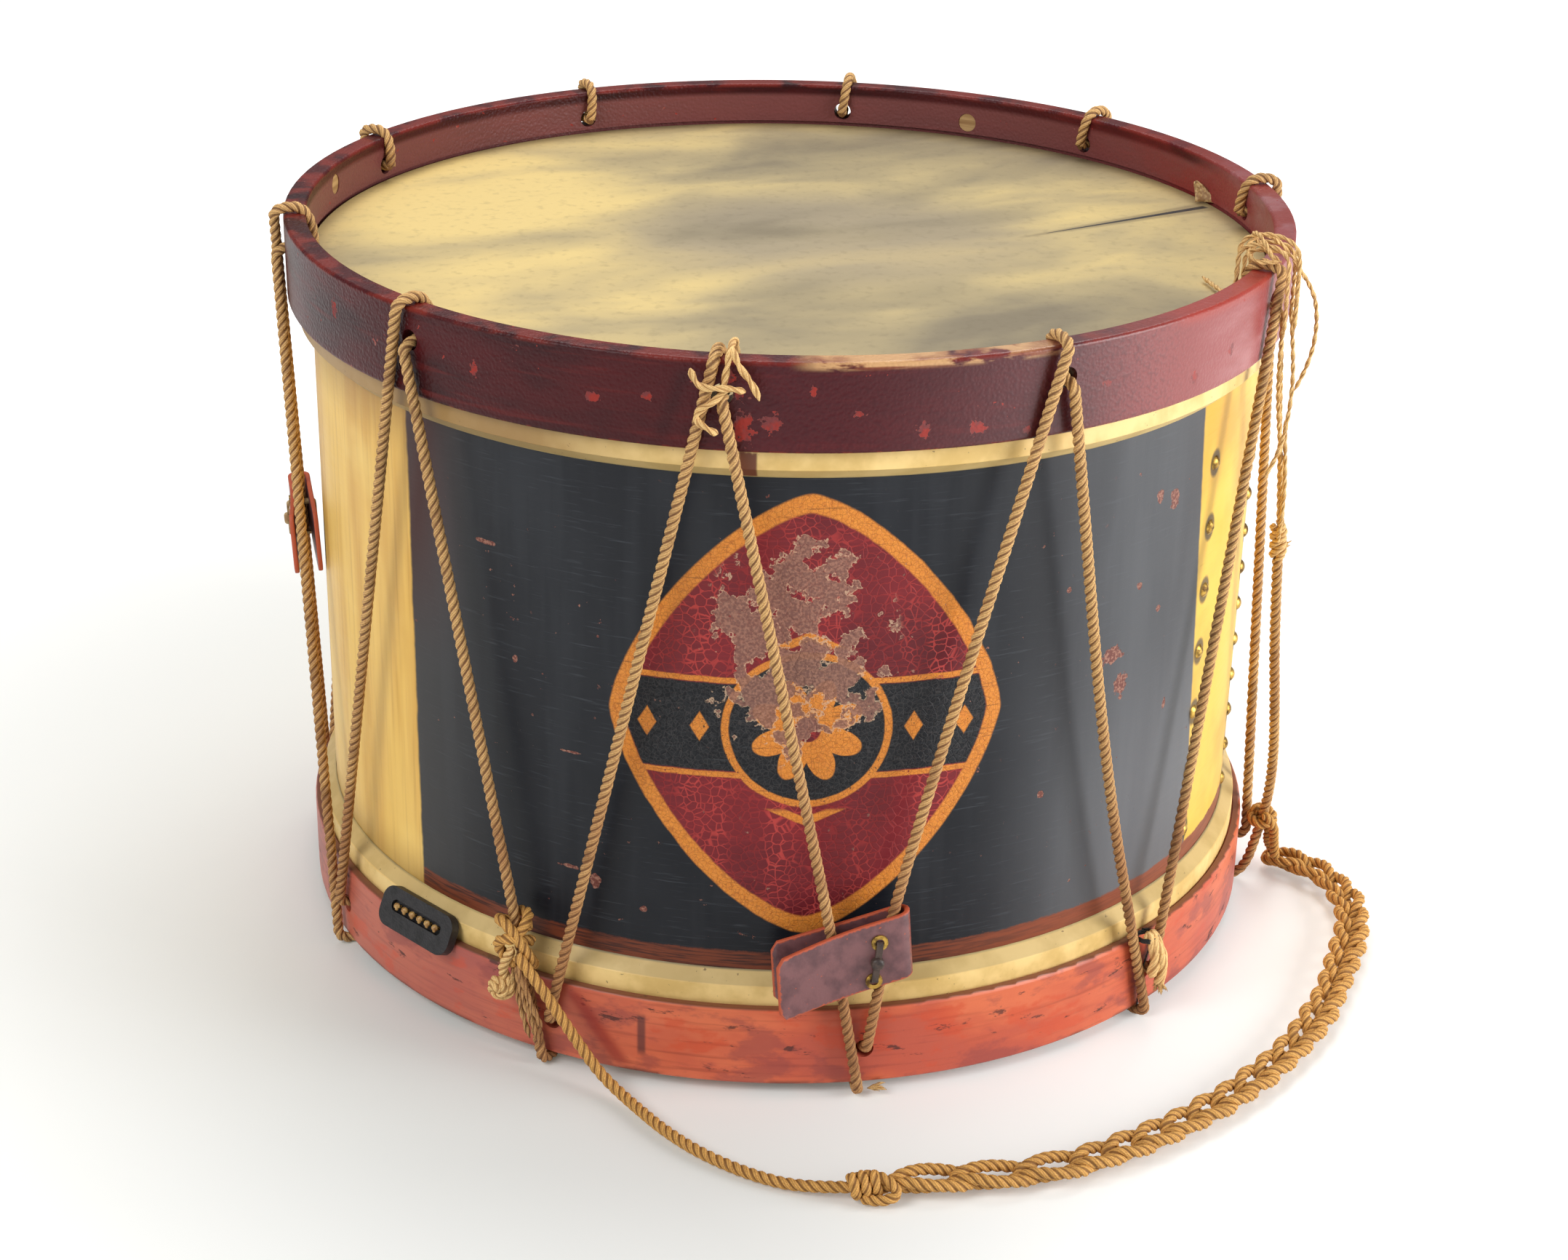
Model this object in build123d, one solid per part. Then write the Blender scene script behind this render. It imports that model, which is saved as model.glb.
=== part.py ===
"""A rope-tension field drum of the 1860s, standing on its bottom ropes, in millimetres.

The origin is on the floor under the middle of the shell, +Z is up and the painted front faces -Y.
An azimuth is measured round the drum from the front, in degrees, and grows to the right.
"""
from build123d import *
import os
from math import acos, atan2, cos, degrees, hypot, pi, radians, sin, sqrt, tan

os.makedirs("parts", exist_ok=True)

# Rope
rope_d = 4.8
rope_gap = 0.3
floor_flat = 0.5

# Counterhoops
hoop_r = 216.0
hoop_wall = 9.5
hoop_h = 35.5
hoop_edge = 1.5
hoop_to_hoop = 310.0
hoop_seat_wall = 3.4
hoop_seat_depth = 3.0
hoop_clearance = 1.15

# Rope holes, drilled by hand, so that three of them are a little off their marks
vee_count = 10
vee_step = 360 / vee_count
top_first_az = -7.0
bottom_first_az = 11.0
top_slip = {0: 0.8, 9: 1.2}
bottom_slip = {0: -1.2}
rope_hole_d = 8.2
top_hole_drop = 13.0
bottom_hole_rise = 16.3
bight_cross = 2.3
bight_radius = 4.0
bight_stub = 9.0
leg_stand = 1.5

# Shell
hoop_stand = 10.0
shell_wall = 4.8
head_drop = 20.0
bearing_radius = 1.2
glue_ring_wall = 6.0
glue_ring_h = 28.0
fit_gap = 0.15
running_gap = 0.08
vent_az = 180.0
vent_bore_d = 7.0
vent_wall = 1.8
vent_flange_d = 17.0
vent_flange = 1.6
tack_head_d = 6.4
tack_head = 1.7
tack_shank_d = 1.6
tack_embed = 3.0
tack_margin = 8.0

# Columns of tacks up the seam: (azimuth, pitch, height of the lowest tack)
tack_columns = ((58.5, 28.3, 68.0), (78.0, 17.4, 60.0))

# Skins and the hoops that they are lapped on
skin = 0.7
seat_gap = 0.8
band_h = 16.0
band_slope = 5.0
flesh_wall = 3.6

# Snares
snare_az = 136.0
snare_count = 6
snare_pitch = 5.0
gut_d = 1.6
gut_below_head = 0.4
gut_bend = 3.0
gut_rise_gap = 0.7
gut_hole_gap = 0.3
gut_knot_d = 3.6
gate_margin = 2.6
butt_w = 45.0
butt_h = 17.5
butt_t = 4.0
butt_round = 6.0
butt_recess_w = 32.0
butt_recess_h = 5.0
butt_recess = 2.0
butt_recess_shift = 1.2
butt_entry = 1.0
butt_lean_gap = 0.2

# Snare strainer
bar_w = 33.0
bar_t = 3.5
bar_below_gut = 6.4
bar_above_gut = 1.6
bar_from_hoop = 6.5
bar_knot_d = 2.8
rod_d = 4.4
rod_above_bar = 0.3
rod_out = 15.0
plate_w = 28.0
plate_h = 22.0
plate_t = 1.5
screw_d = 3.0
screw_l = 8.0
screw_head_d = 5.6
screw_head = 1.6
screw_spacing = 21.4
nut_d = 14.8
nut_t = 5.0
nut_gap = 0.3
nut_notches = 20
nut_notch_d = 1.4

# Leather tug ears
ear_leather = 2.0
ear_length = 57.0
ear_height = 28.5
ear_rope_gap = 0.5
ear_pocket = 8.6
ear_corner_cut = 4.0
eyelet_d = 5.4
eyelet_bore_d = 3.6
eyelet_rim = 0.7
eyelet_spacing = 16.0
lace_drop = 2.6
thong_w = 2.6
thong_t = 1.2
thong_gap = 0.35
thong_knot_d = 5.4
thong_knot = 2.8
front_ear_height = 70.0
front_ear_tilt = 21.5
front_ear_skew = 10.7
left_ear_height = 168.0
left_ear_tilt = 13.5
left_ear_turn = 11.5

# Plugs that close two old holes in the top hoop: (azimuth, depth below the hoop's edge)
plug_d = 9.0
plug_recess = 0.4
plug_places = ((-101.0, 9.0), (155.2, 13.0))

# The mended leg at the right, and the drag rope
cord_d = 3.2
splice_d = 8.4
splice_l = 17.0
strand_d = 2.0
strand_bend = 7.0
strand_slant = 0.4
strand_drop_out = 22.0
strand_drop_in = 9.0
drag_d = 5.0
plait_d = 13.0
hitch_gap = 0.4
hitch_heights = (62.8, 57.4)
tail_knob_d = 12.5

# Strands looped over the top hoop: (azimuth, height above the hoop, distance outside it)
strand_places = ((63.0, 12.0, 6.4), (66.2, 6.6, 7.3))

# Sizes that follow from those above
bore_r = hoop_r - hoop_wall
shell_r = hoop_r - hoop_stand
bottom_edge_z = rope_d - floor_flat + rope_gap
top_edge_z = bottom_edge_z + hoop_to_hoop
mid_z = (bottom_edge_z + top_edge_z) / 2
shell_z0 = bottom_edge_z + head_drop + skin
shell_z1 = top_edge_z - head_drop - skin
top_hole_z = top_edge_z - top_hole_drop
bottom_hole_z = bottom_edge_z + bottom_hole_rise
leg_r = hoop_r + leg_stand + rope_d / 2
inner_rope_r = bore_r - rope_gap - rope_d / 2
skin_in_r = shell_r + fit_gap
collar_r = skin_in_r + skin
lap_r = collar_r + hoop_clearance
hoop_seat_r = hoop_r - hoop_seat_wall
band_r = hoop_seat_r - seat_gap
seat_depth = hoop_h - hoop_seat_depth
butt_az = snare_az - 180
gut_z = bottom_edge_z + head_drop - gut_below_head - gut_d / 2
gut_rise_r = band_r + gut_rise_gap + gut_d / 2
gut_span = snare_pitch * (snare_count - 1)
bar_out_r = bore_r - bar_from_hoop
bar_z0 = gut_z - gut_d / 2 - bar_below_gut
rod_z = bar_z0 + rod_above_bar + rod_d / 2


def at(azimuth, radius, height, along=0.0):
    """The point at an azimuth, radius and height, moved `along` mm further to the right."""
    a = radians(azimuth)
    return Vector(radius * sin(a) + along * cos(a), -radius * cos(a) + along * sin(a), height)


def beside(azimuth, out, height):
    """The point that far outside the counterhoops' face."""
    return at(azimuth, hoop_r + out, height)


def facing(azimuth, radius, height):
    """A plane that faces outward there: x runs to the right round the drum, and y runs up."""
    a = radians(azimuth)
    return Plane(at(azimuth, radius, height), x_dir=(cos(a), sin(a), 0), z_dir=(sin(a), -cos(a), 0))


def from_top(depth):
    """A height on the batter side, measured inward from the top hoop's outer edge."""
    return top_edge_z - depth


def from_bottom(depth):
    """A height on the snare side, measured inward from the bottom hoop's outer edge."""
    return bottom_edge_z + depth


def turned(profile):
    """A solid turned round the drum's axis from (radius, height) points."""
    outline = Polyline(*[(r, 0, z) for r, z in profile], close=True)
    return revolve(make_face(outline.edges()), Axis.Z)


def post(diameter, length):
    """A cylinder that stands on its plane."""
    return Cylinder(diameter / 2, length, align=(Align.CENTER, Align.CENTER, Align.MIN))


def dome(diameter, rise):
    """A cap of a sphere that stands on its plane."""
    radius = ((diameter / 2) ** 2 + rise**2) / (2 * rise)
    return Pos(0, 0, rise - radius) * Sphere(radius) & post(2 * diameter, 2 * rise)


def drilled(body, places, diameter):
    """Bore radial holes through a hoop or the shell at (azimuth, height) places."""
    for azimuth, height in places:
        body -= facing(azimuth, shell_r, height) * Cylinder(diameter / 2, 4 * hoop_wall)
    return body


def save(node, *solids):
    """Write one node and say what it holds."""
    body = solids[0] if len(solids) == 1 else Compound(children=list(solids))
    export_step(body, f"parts/{node}.step")
    print(f"{node}: {len(body.solids())} solids, {body.volume:.0f} mm3")


def half_turn(before, corner, after):
    """Half the angle by which a route turns at a corner, in radians."""
    return radians((corner - before).get_angle(after - corner)) / 2


def easy_radii(points):
    """The largest arcs that the runs of a route leave room for."""
    radii = []
    for before, corner, after in zip(points, points[1:], points[2:]):
        shorter = min((corner - before).length, (after - corner).length)
        radii.append(0.45 * shorter / tan(half_turn(before, corner, after)))
    return radii


def tube_along(name, points, diameter, radii=None):
    """A round tube along straight runs that tangent arcs join."""
    if len(points) == 2:
        direction = points[1] - points[0]
        return (Plane(points[0], z_dir=direction) * post(diameter, direction.length)).solid()
    radii = radii or easy_radii(points)
    path = FilletPolyline(*points, radius=radii)
    tube = sweep(Plane(path @ 0, z_dir=path % 0) * Circle(diameter / 2), path=path).solid()
    ratio = tube.volume / (pi * diameter**2 / 4 * path.length)
    tightest = min(radii)
    print(f"  {name}: length {path.length:.1f}, tightest arc {tightest:.1f}, volume ratio {ratio:.4f}")
    return tube


# The shell, its vent and its tacked seam
shell_in_r = shell_r - shell_wall
shell = turned([(shell_in_r, shell_z0), (shell_r, shell_z0), (shell_r, shell_z1), (shell_in_r, shell_z1)])
rims = [e for e in shell.edges().filter_by(GeomType.CIRCLE) if abs(e.radius - shell_r) < 0.01]
shell = fillet(rims, bearing_radius)
vent_d = vent_bore_d + 2 * vent_wall
tack_limit_z = from_top(seat_depth + band_h + tack_margin)
tack_places = [
    (azimuth, first_z + pitch * i)
    for azimuth, pitch, first_z in tack_columns
    for i in range(int((tack_limit_z - first_z) / pitch) + 1)
]
shell = drilled(shell, [(vent_az, mid_z)], vent_d)
tack_hole = post(tack_shank_d + 2 * running_gap, 2 * tack_embed)
for azimuth, height in tack_places:
    shell -= facing(azimuth, shell_r - tack_embed - fit_gap, height) * tack_hole
save("shell", shell)

tack = (dome(tack_head_d, tack_head) + Pos(0, 0, -tack_embed) * post(tack_shank_d, tack_embed)).solid()
save("seam_tacks", *[facing(azimuth, shell_r, height) * tack for azimuth, height in tack_places])

ring_out_r = shell_in_r - fit_gap
ring_in_r = ring_out_r - glue_ring_wall
for side, z0 in (("batter", shell_z1 - glue_ring_h), ("snare", shell_z0)):
    z1 = z0 + glue_ring_h
    save(f"{side}_glue_ring", turned([(ring_in_r, z0), (ring_out_r, z0), (ring_out_r, z1), (ring_in_r, z1)]))

flange = post(vent_flange_d, vent_flange)
flange = fillet(flange.edges().filter_by(GeomType.CIRCLE).sort_by(Axis.Z)[-1], vent_flange / 2)
grommet = post(vent_d - 2 * running_gap, shell_wall + vent_flange) + Pos(0, 0, shell_wall + fit_gap) * flange
grommet -= Cylinder(vent_bore_d / 2, 4 * shell_wall)
save("vent_grommet", facing(vent_az, shell_in_r, mid_z) * grommet)


def skin_line(radius):
    """How deep the inner face of the skin's slope over its flesh hoop lies, at a radius."""
    rise = band_slope / (band_r - skin_in_r)
    return seat_depth + band_h - (radius - skin_in_r) * rise - skin * sqrt(1 + rise**2)


def head(level):
    """A skin over the bearing edge, down the shell, round its flesh hoop and tucked under it."""
    tuck = seat_depth + fit_gap
    far = seat_depth + band_h
    tuck_r = lap_r + fit_gap
    return turned([
        (0, level(head_drop)), (skin_in_r, level(head_drop)), (collar_r, level(head_drop + skin)),
        (collar_r, level(skin_line(collar_r))), (band_r - skin, level(skin_line(band_r - skin))),
        (band_r - skin, level(tuck + skin)), (tuck_r, level(tuck + skin)), (tuck_r, level(tuck)),
        (band_r, level(tuck)), (band_r, level(far - band_slope)), (skin_in_r, level(far)),
        (skin_in_r, level(head_drop + skin)), (0, level(head_drop + skin)),
    ])


def flesh_hoop(level):
    """The thin wooden hoop that a skin is lapped on, all of it hidden in the lap."""
    outer = band_r - skin - fit_gap
    inner = outer - flesh_wall
    near = seat_depth + skin + 2 * fit_gap
    return turned([
        (inner, level(near)), (outer, level(near)), (outer, level(skin_line(outer) - 2 * fit_gap)),
        (inner, level(skin_line(inner) - 2 * fit_gap)),
    ])


def counterhoop(level):
    """A bent wooden hoop: a bore, a lap that slips over the skin, and a seat for the flesh hoop."""
    lap = head_drop - hoop_edge
    hoop = turned([
        (bore_r, level(0)), (hoop_r, level(0)), (hoop_r, level(hoop_h)), (hoop_seat_r, level(hoop_h)),
        (hoop_seat_r, level(seat_depth)), (lap_r, level(seat_depth)), (lap_r, level(lap)),
        (bore_r, level(lap)),
    ])
    circles = hoop.edges().filter_by(GeomType.CIRCLE)
    outside = [e for e in circles if abs(e.radius - hoop_r) < 0.01]
    at_edge = circles.filter_by(lambda e: abs(e.center().Z - level(0)) < 0.01)
    inside = [e for e in at_edge if abs(e.radius - bore_r) < 0.01]
    return fillet(outside + inside, hoop_edge)


for side, level in (("batter", from_top), ("snare", from_bottom)):
    save(f"{side}_head", head(level))
    save(f"{side}_flesh_hoop", flesh_hoop(level))


def top_az(k):
    return top_first_az + vee_step * k + top_slip.get(k % vee_count, 0)


def bottom_az(k):
    return bottom_first_az + vee_step * k + bottom_slip.get(k % vee_count, 0)


# The counterhoops, with their rope holes, plugs, snare gate and strainer holes
plug_spots = [(azimuth, top_edge_z - depth) for azimuth, depth in plug_places]
top_holes = [(top_az(k), top_hole_z) for k in range(vee_count)]
top_hoop = drilled(counterhoop(from_top), top_holes, rope_hole_d)
save("top_counterhoop", drilled(top_hoop, plug_spots, plug_d))
plug = Cylinder(plug_d / 2 - running_gap, hoop_wall - 2 * plug_recess)
plug_r = hoop_r - hoop_wall / 2
save("hoop_plugs", *[facing(azimuth, plug_r, height) * plug for azimuth, height in plug_spots])

bottom_holes = [(bottom_az(k), bottom_hole_z) for k in range(vee_count)]
bottom_hoop = drilled(counterhoop(from_bottom), bottom_holes, rope_hole_d)
bottom_hoop = drilled(bottom_hoop, [(snare_az, rod_z)], rod_d + 2 * running_gap)
screw_az_step = degrees(screw_spacing / 2 / hoop_r)
screw_places = [(snare_az + side * screw_az_step, rod_z) for side in (-1, 1)]
for azimuth, height in screw_places:
    bottom_hoop -= facing(azimuth, hoop_r - screw_l, height) * post(screw_d + 2 * running_gap, 2 * screw_l)
gate_w = gut_span + gut_d + 2 * gate_margin
gate_z0 = gut_z - gut_d / 2 - gut_bend
gate_r0 = bore_r - hoop_edge
gate_depth = gut_rise_r + gut_d / 2 + fit_gap - gate_r0
gate = Box(gate_w, hoop_h, gate_depth, align=(Align.CENTER, Align.MIN, Align.MIN))
save("bottom_counterhoop", bottom_hoop - facing(butt_az, gate_r0, gate_z0) * gate)

# What bends a leg between its hole and the other hoop: (vee, falling) to points in order from the hole.
# The front ear draws in the legs of vee 0, a leg of vee 1 is slack, and a leg of vee 2 is mended.
splice_high = beside(71.3, 6.5, 197.0)
splice_low = beside(71.9, 7.2, 197.0 - splice_l)
mend_cord_points = [beside(67.0, 5.0, 258.0), beside(69.2, 5.8, 226.0), splice_high]
mend_rope_points = [
    splice_low, beside(73.2, 8.6, 140.0), beside(75.2, 10.8, 108.0), beside(78.0, 12.4, 76.0),
    beside(80.4, 12.2, 50.0), beside(82.0, 9.6, 29.0),
]
bends = {
    (0, True): [beside(5.5, 2.8, 84.0)],
    (0, False): [beside(11.2, 2.9, 55.0), beside(12.1, 2.2, 86.0)],
    (1, True): [beside(36.8, 1.9, 134.0)],
    (2, True): mend_cord_points + mend_rope_points,
}


def bight_corners(side, k):
    """The corners of one rope bight: over the hoop's edge, along its inside and out of its hole."""
    if side == "top":
        azimuth, hole_z, edge_z = top_az(k), top_hole_z, top_edge_z + rope_gap + rope_d / 2
    else:
        azimuth, hole_z, edge_z = bottom_az(k), bottom_hole_z, bottom_edge_z - rope_gap - rope_d / 2
    return [
        at(azimuth, leg_r, edge_z, -bight_cross), at(azimuth, inner_rope_r, edge_z, -bight_cross),
        at(azimuth, inner_rope_r, hole_z), at(azimuth, leg_r, hole_z),
    ]


def leg_route(k, falling):
    """A leg's route from the hole that it leaves to the edge of the other hoop."""
    start = bight_corners("top" if falling else "bottom", k)[-1]
    end = bight_corners("bottom", k)[0] if falling else bight_corners("top", k + 1)[0]
    return [start, *bends.get((k, falling), []), end]


def stub_end(corner, toward):
    """Where the stub of a bight ends and its leg begins."""
    return corner + (toward - corner).normalized() * bight_stub


def bight(side, k):
    """One bight, with a short stub of the leg at each end."""
    corners = bight_corners(side, k)
    arriving = leg_route(k - 1, False) if side == "top" else leg_route(k, True)
    leaving = leg_route(k, side == "top")
    points = [stub_end(corners[0], arriving[-2]), *corners, stub_end(corners[-1], leaving[1])]
    tube = tube_along(f"{side} bight {k}", points, rope_d, [bight_radius] * len(corners))
    if side == "top":
        return tube
    under_floor = Box(8 * rope_d, 4 * hoop_wall, rope_d, align=(Align.CENTER, Align.CENTER, Align.MAX))
    middle = at(bottom_az(k), (leg_r + inner_rope_r) / 2, 0)
    return (tube - Pos(middle) * Rot(0, 0, bottom_az(k)) * under_floor).solid()


def leg(k, falling):
    """A leg between the stubs of its two bights."""
    route = leg_route(k, falling)
    points = [stub_end(route[0], route[1]), *route[1:-1], stub_end(route[-1], route[-2])]
    return tube_along(f"leg of vee {k}", points, rope_d)


drawn_in = [(0, True), (0, False)]
mended = (2, True)
all_legs = [(k, falling) for k in range(vee_count) for falling in (True, False)]
save("rope_legs", *[leg(*which) for which in all_legs if which not in drawn_in + [mended]])
save("front_vee_rope", *[leg(*which) for which in drawn_in])
save("top_bights", *[bight("top", k) for k in range(vee_count)])
save("bottom_bights", *[bight("bottom", k) for k in range(vee_count)])

# The mended leg hangs slack: two thin strands, a splice and a length of rope
mend_route = leg_route(*mended)
cord_points = [stub_end(mend_route[0], mend_route[1]), *mend_cord_points]
save("mend_cord", tube_along("mend cord", cord_points, cord_d))
rope_points = [*mend_rope_points, stub_end(mend_route[-1], mend_route[-2])]
save("mend_rope", tube_along("mend rope", rope_points, rope_d))
splice = post(splice_d, (splice_high - splice_low).length)
splice = chamfer(splice.edges().filter_by(GeomType.CIRCLE), splice_d / 5)
save("mend_splice", Plane(splice_low, z_dir=splice_high - splice_low) * splice)

# Unlaid strands of the same mend, looped over the top hoop
strand_loops = []
for azimuth, rise, proud in strand_places:
    outer_r = hoop_r + proud + strand_d / 2
    inner_r = bore_r - (proud + strand_d) / 2
    crest = top_edge_z + rise
    points = [
        at(azimuth + strand_slant, outer_r, top_edge_z - strand_drop_out), at(azimuth, outer_r, crest),
        at(azimuth, inner_r, crest), at(azimuth - strand_slant, inner_r, top_edge_z - strand_drop_in),
    ]
    strand_loops.append(tube_along("strand loop", points, strand_d, [strand_bend, strand_bend]))
save("mend_strands", *strand_loops)


def leaning_frame(point, rope, outward, turn, tilt, mirrored):
    """The frame of an ear at a point of its rope: x and y in its flaps' plane, z out from the drum.

    The ear turns about the rope, so that its free end swings inward, and then tilts in its own plane.
    """
    side = rope.cross(outward).normalized()
    normal = side.cross(rope).normalized()
    swing = radians(-turn if mirrored else turn)
    flat = side * cos(swing) - normal * sin(swing)
    out = normal * cos(swing) + side * sin(swing)
    lean = radians(tilt)
    return Plane(point, x_dir=flat * cos(lean) + rope * sin(lean), z_dir=out)


def make_ear(name, frame, tilt, skew, mirrored):
    """The leather, eyelets and thong of one ear, with the rope between its fold and its thong.

    It is made with the fold at the left, the rope through the origin and the free end at the right.
    """
    rope_slope = tan(radians(-tilt if mirrored else tilt))
    edge_slope = tan(radians(-skew if mirrored else skew))
    half_gap = rope_d / 2 + ear_rope_gap
    outer = half_gap + ear_leather
    fold_x = half_gap - ear_pocket
    end_x = ear_length - ear_pocket - ear_leather
    section_plane = Plane((0, 0, 0), x_dir=(1, 0, 0), z_dir=(0, -1, 0))

    def folded(radius, half_height):
        arc = ThreePointArc((fold_x, radius), (fold_x - radius, 0), (fold_x, -radius))
        flaps = Polyline((fold_x, -radius), (end_x, -radius), (end_x, radius), (fold_x, radius))
        face = section_plane * make_face(arc.edges() + flaps.edges())
        return extrude(face, half_height * hypot(1, edge_slope), dir=(edge_slope, 1, 0), both=True)

    leather = folded(outer, ear_height / 2) - folded(half_gap, ear_height)
    corner = Box(ear_corner_cut, ear_corner_cut, 4 * outer)
    for side in (-1, 1):
        y = side * ear_height / 2
        leather -= Pos(end_x + edge_slope * y, y, 0) * Rot(0, 0, 45) * corner

    lace_x = (rope_d / 2 + thong_gap + thong_w / 2) * hypot(1, rope_slope)
    lace_ys = (-lace_drop + eyelet_spacing / 2, -lace_drop - eyelet_spacing / 2)
    lace = [Vector(lace_x + rope_slope * y, y, 0) for y in lace_ys]
    rim = Pos(0, 0, ear_leather) * post(eyelet_d + 2 * eyelet_rim, eyelet_rim)
    barrel = post(eyelet_d, ear_leather)
    barrels = (Pos(0, 0, half_gap) * (barrel + rim), Pos(0, 0, -outer) * barrel)
    eyelets = []
    for spot in lace:
        leather -= Pos(spot) * Cylinder(eyelet_d / 2 + running_gap, 4 * outer)
        for solid_barrel in barrels:
            eyelets.append(Pos(spot) * (solid_barrel - Cylinder(eyelet_bore_d / 2, 4 * outer)).solid())

    front_z = outer + eyelet_rim + thong_t / 2 + fit_gap
    back_z = -outer - thong_t / 2 - fit_gap
    middle = (lace[0] + lace[1]) / 2
    lift = Vector(0, 0, front_z)
    sink = Vector(0, 0, back_z)
    gap = (lace[0] - lace[1]).normalized() * fit_gap
    round_lace = [lace[0] + lift, lace[0] + sink, lace[1] + sink, lace[1] + lift]
    path = FilletPolyline(middle + lift, *round_lace, middle - gap + lift, radius=thong_t)
    across = (lace[0] - lace[1]).cross(Vector(0, 0, 1))
    thong = sweep(Plane(path @ 0, x_dir=across, z_dir=path % 0) * Rectangle(thong_w, thong_t), path=path)
    knot = post(thong_knot_d, thong_knot)
    knot = fillet(knot.edges().filter_by(GeomType.CIRCLE).sort_by(Axis.Z)[-1], thong_knot / 2)
    thong += Pos(middle + Vector(0, 0, front_z - thong_t / 2)) * knot

    def placed(shape):
        return frame * (mirror(shape, about=Plane.YZ) if mirrored else shape)

    save(f"{name}_ear", placed(leather))
    save(f"{name}_ear_eyelets", *[placed(eyelet) for eyelet in eyelets])
    save(f"{name}_ear_thong", placed(thong))


def at_height(start, end, height):
    """The point of a straight run at a height above the floor."""
    return start + (end - start) * ((height - start.Z) / (end.Z - start.Z))


# The front ear holds the rising leg of its vee in its pocket, and the falling leg lies between its flaps.
rising = leg_route(0, False)
falling = leg_route(0, True)
front_point = at_height(rising[1], rising[2], front_ear_height)
front_rope = (rising[2] - rising[1]).normalized()
front_across = front_point - at_height(falling[1], falling[2], front_ear_height)
front_frame = leaning_frame(front_point, front_rope, front_across.cross(front_rope), 0, front_ear_tilt, True)
make_ear("front", front_frame, front_ear_tilt, front_ear_skew, True)

# The left ear hangs on the rising leg of vee 7, and its free end swings in towards the shell.
left_leg = leg_route(7, False)
left_point = at_height(*left_leg, left_ear_height)
left_rope = (left_leg[1] - left_leg[0]).normalized()
left_outward = Vector(left_point.X, left_point.Y, 0)
left_frame = leaning_frame(left_point, left_rope, left_outward, left_ear_turn, left_ear_tilt, False)
make_ear("left", left_frame, left_ear_tilt, 0, False)
for name, start, end in (("front", rising[2], rising[3]), ("left", *left_leg)):
    slide = (end - start).normalized()
    print(f"  {name} ear slides along ({slide.X:.5f}, {slide.Y:.5f}, {slide.Z:.5f})")

# The leather butt leans on the rounded edge of the bottom hoop and on the skin's lap above it.
foot_r, foot_z = hoop_r - hoop_edge, bottom_edge_z + hoop_h - hoop_edge
rest_r, rest_z = band_r, bottom_edge_z + seat_depth + band_h - band_slope
rise = hypot(rest_r - foot_r, rest_z - foot_z)
lean = atan2(rest_z - foot_z, rest_r - foot_r) - acos(hoop_edge / rise)
back_face = foot_r * cos(lean) + foot_z * sin(lean) + hoop_edge + butt_lean_gap
turn_z = (back_face - butt_entry - gut_rise_r * cos(lean)) / sin(lean)


def gut_at(out, along):
    """A point that far along a strand past its turn towards the butt."""
    return at(butt_az, gut_rise_r + out * cos(lean), turn_z + out * sin(lean), along)


butt_across = facing(butt_az, 0, 0).x_dir
butt_plane = Plane(gut_at(butt_entry, 0), x_dir=butt_across, z_dir=gut_at(1, 0) - gut_at(0, 0))
butt = Pos(0, -butt_recess_shift, 0) * extrude(RectangleRounded(butt_w, butt_h, butt_round), butt_t)
recess_round = butt_recess_h / 2 - fit_gap
recess = extrude(RectangleRounded(butt_recess_w, butt_recess_h, recess_round), butt_t)
butt -= Pos(0, 0, butt_t - butt_recess) * recess
snare_offsets = [snare_pitch * (i - (snare_count - 1) / 2) for i in range(snare_count)]
for offset in snare_offsets:
    butt -= Pos(offset, 0, 0) * Cylinder((gut_d + gut_hole_gap) / 2, 4 * butt_t)
save("snare_butt", butt_plane * butt)

# Gut snares, knotted in the butt's recess and behind the strainer's comb
knot_out = butt_entry + butt_t - butt_recess + fit_gap + gut_knot_d / 2
bar_knot_r = bar_out_r + fit_gap + bar_knot_d / 2
snares = []
for offset in snare_offsets:
    points = [
        gut_at(knot_out, offset), gut_at(0, offset), at(butt_az, gut_rise_r, gut_z, offset),
        at(butt_az, -bar_knot_r, gut_z, offset),
    ]
    strand = tube_along("snare", points, gut_d, [gut_d, gut_bend])
    strand += Pos(points[0]) * Sphere(gut_knot_d / 2)
    strand += Pos(points[-1] - Vector(0, 0, (bar_knot_d - gut_d) / 2 - fit_gap)) * Sphere(bar_knot_d / 2)
    snares.append(strand.solid())
save("snares", *snares)

# The strainer: a comb behind the strands, drawn outward by a rod and a thumb nut on a brass plate
bar_h = bar_below_gut + bar_above_gut
comb = Box(bar_w, bar_h, bar_t, align=(Align.CENTER, Align.MIN, Align.MAX))
for offset in snare_offsets:
    notch = Box(gut_d + gut_hole_gap, bar_h, 4 * bar_t, align=(Align.CENTER, Align.MIN, Align.CENTER))
    comb -= Pos(offset, bar_below_gut - fit_gap, 0) * notch
rod = post(rod_d, hoop_r + rod_out - bar_out_r)
rod = chamfer(rod.edges().filter_by(GeomType.CIRCLE).sort_by(Axis.Z)[-1], rod_d / 8)
hook = comb + Pos(0, rod_z - bar_z0, 0) * (rod + Pos(0, 0, -bar_t / 2) * post(rod_d, bar_t))
save("strainer_hook", facing(snare_az, bar_out_r, bar_z0) * hook)

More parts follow.
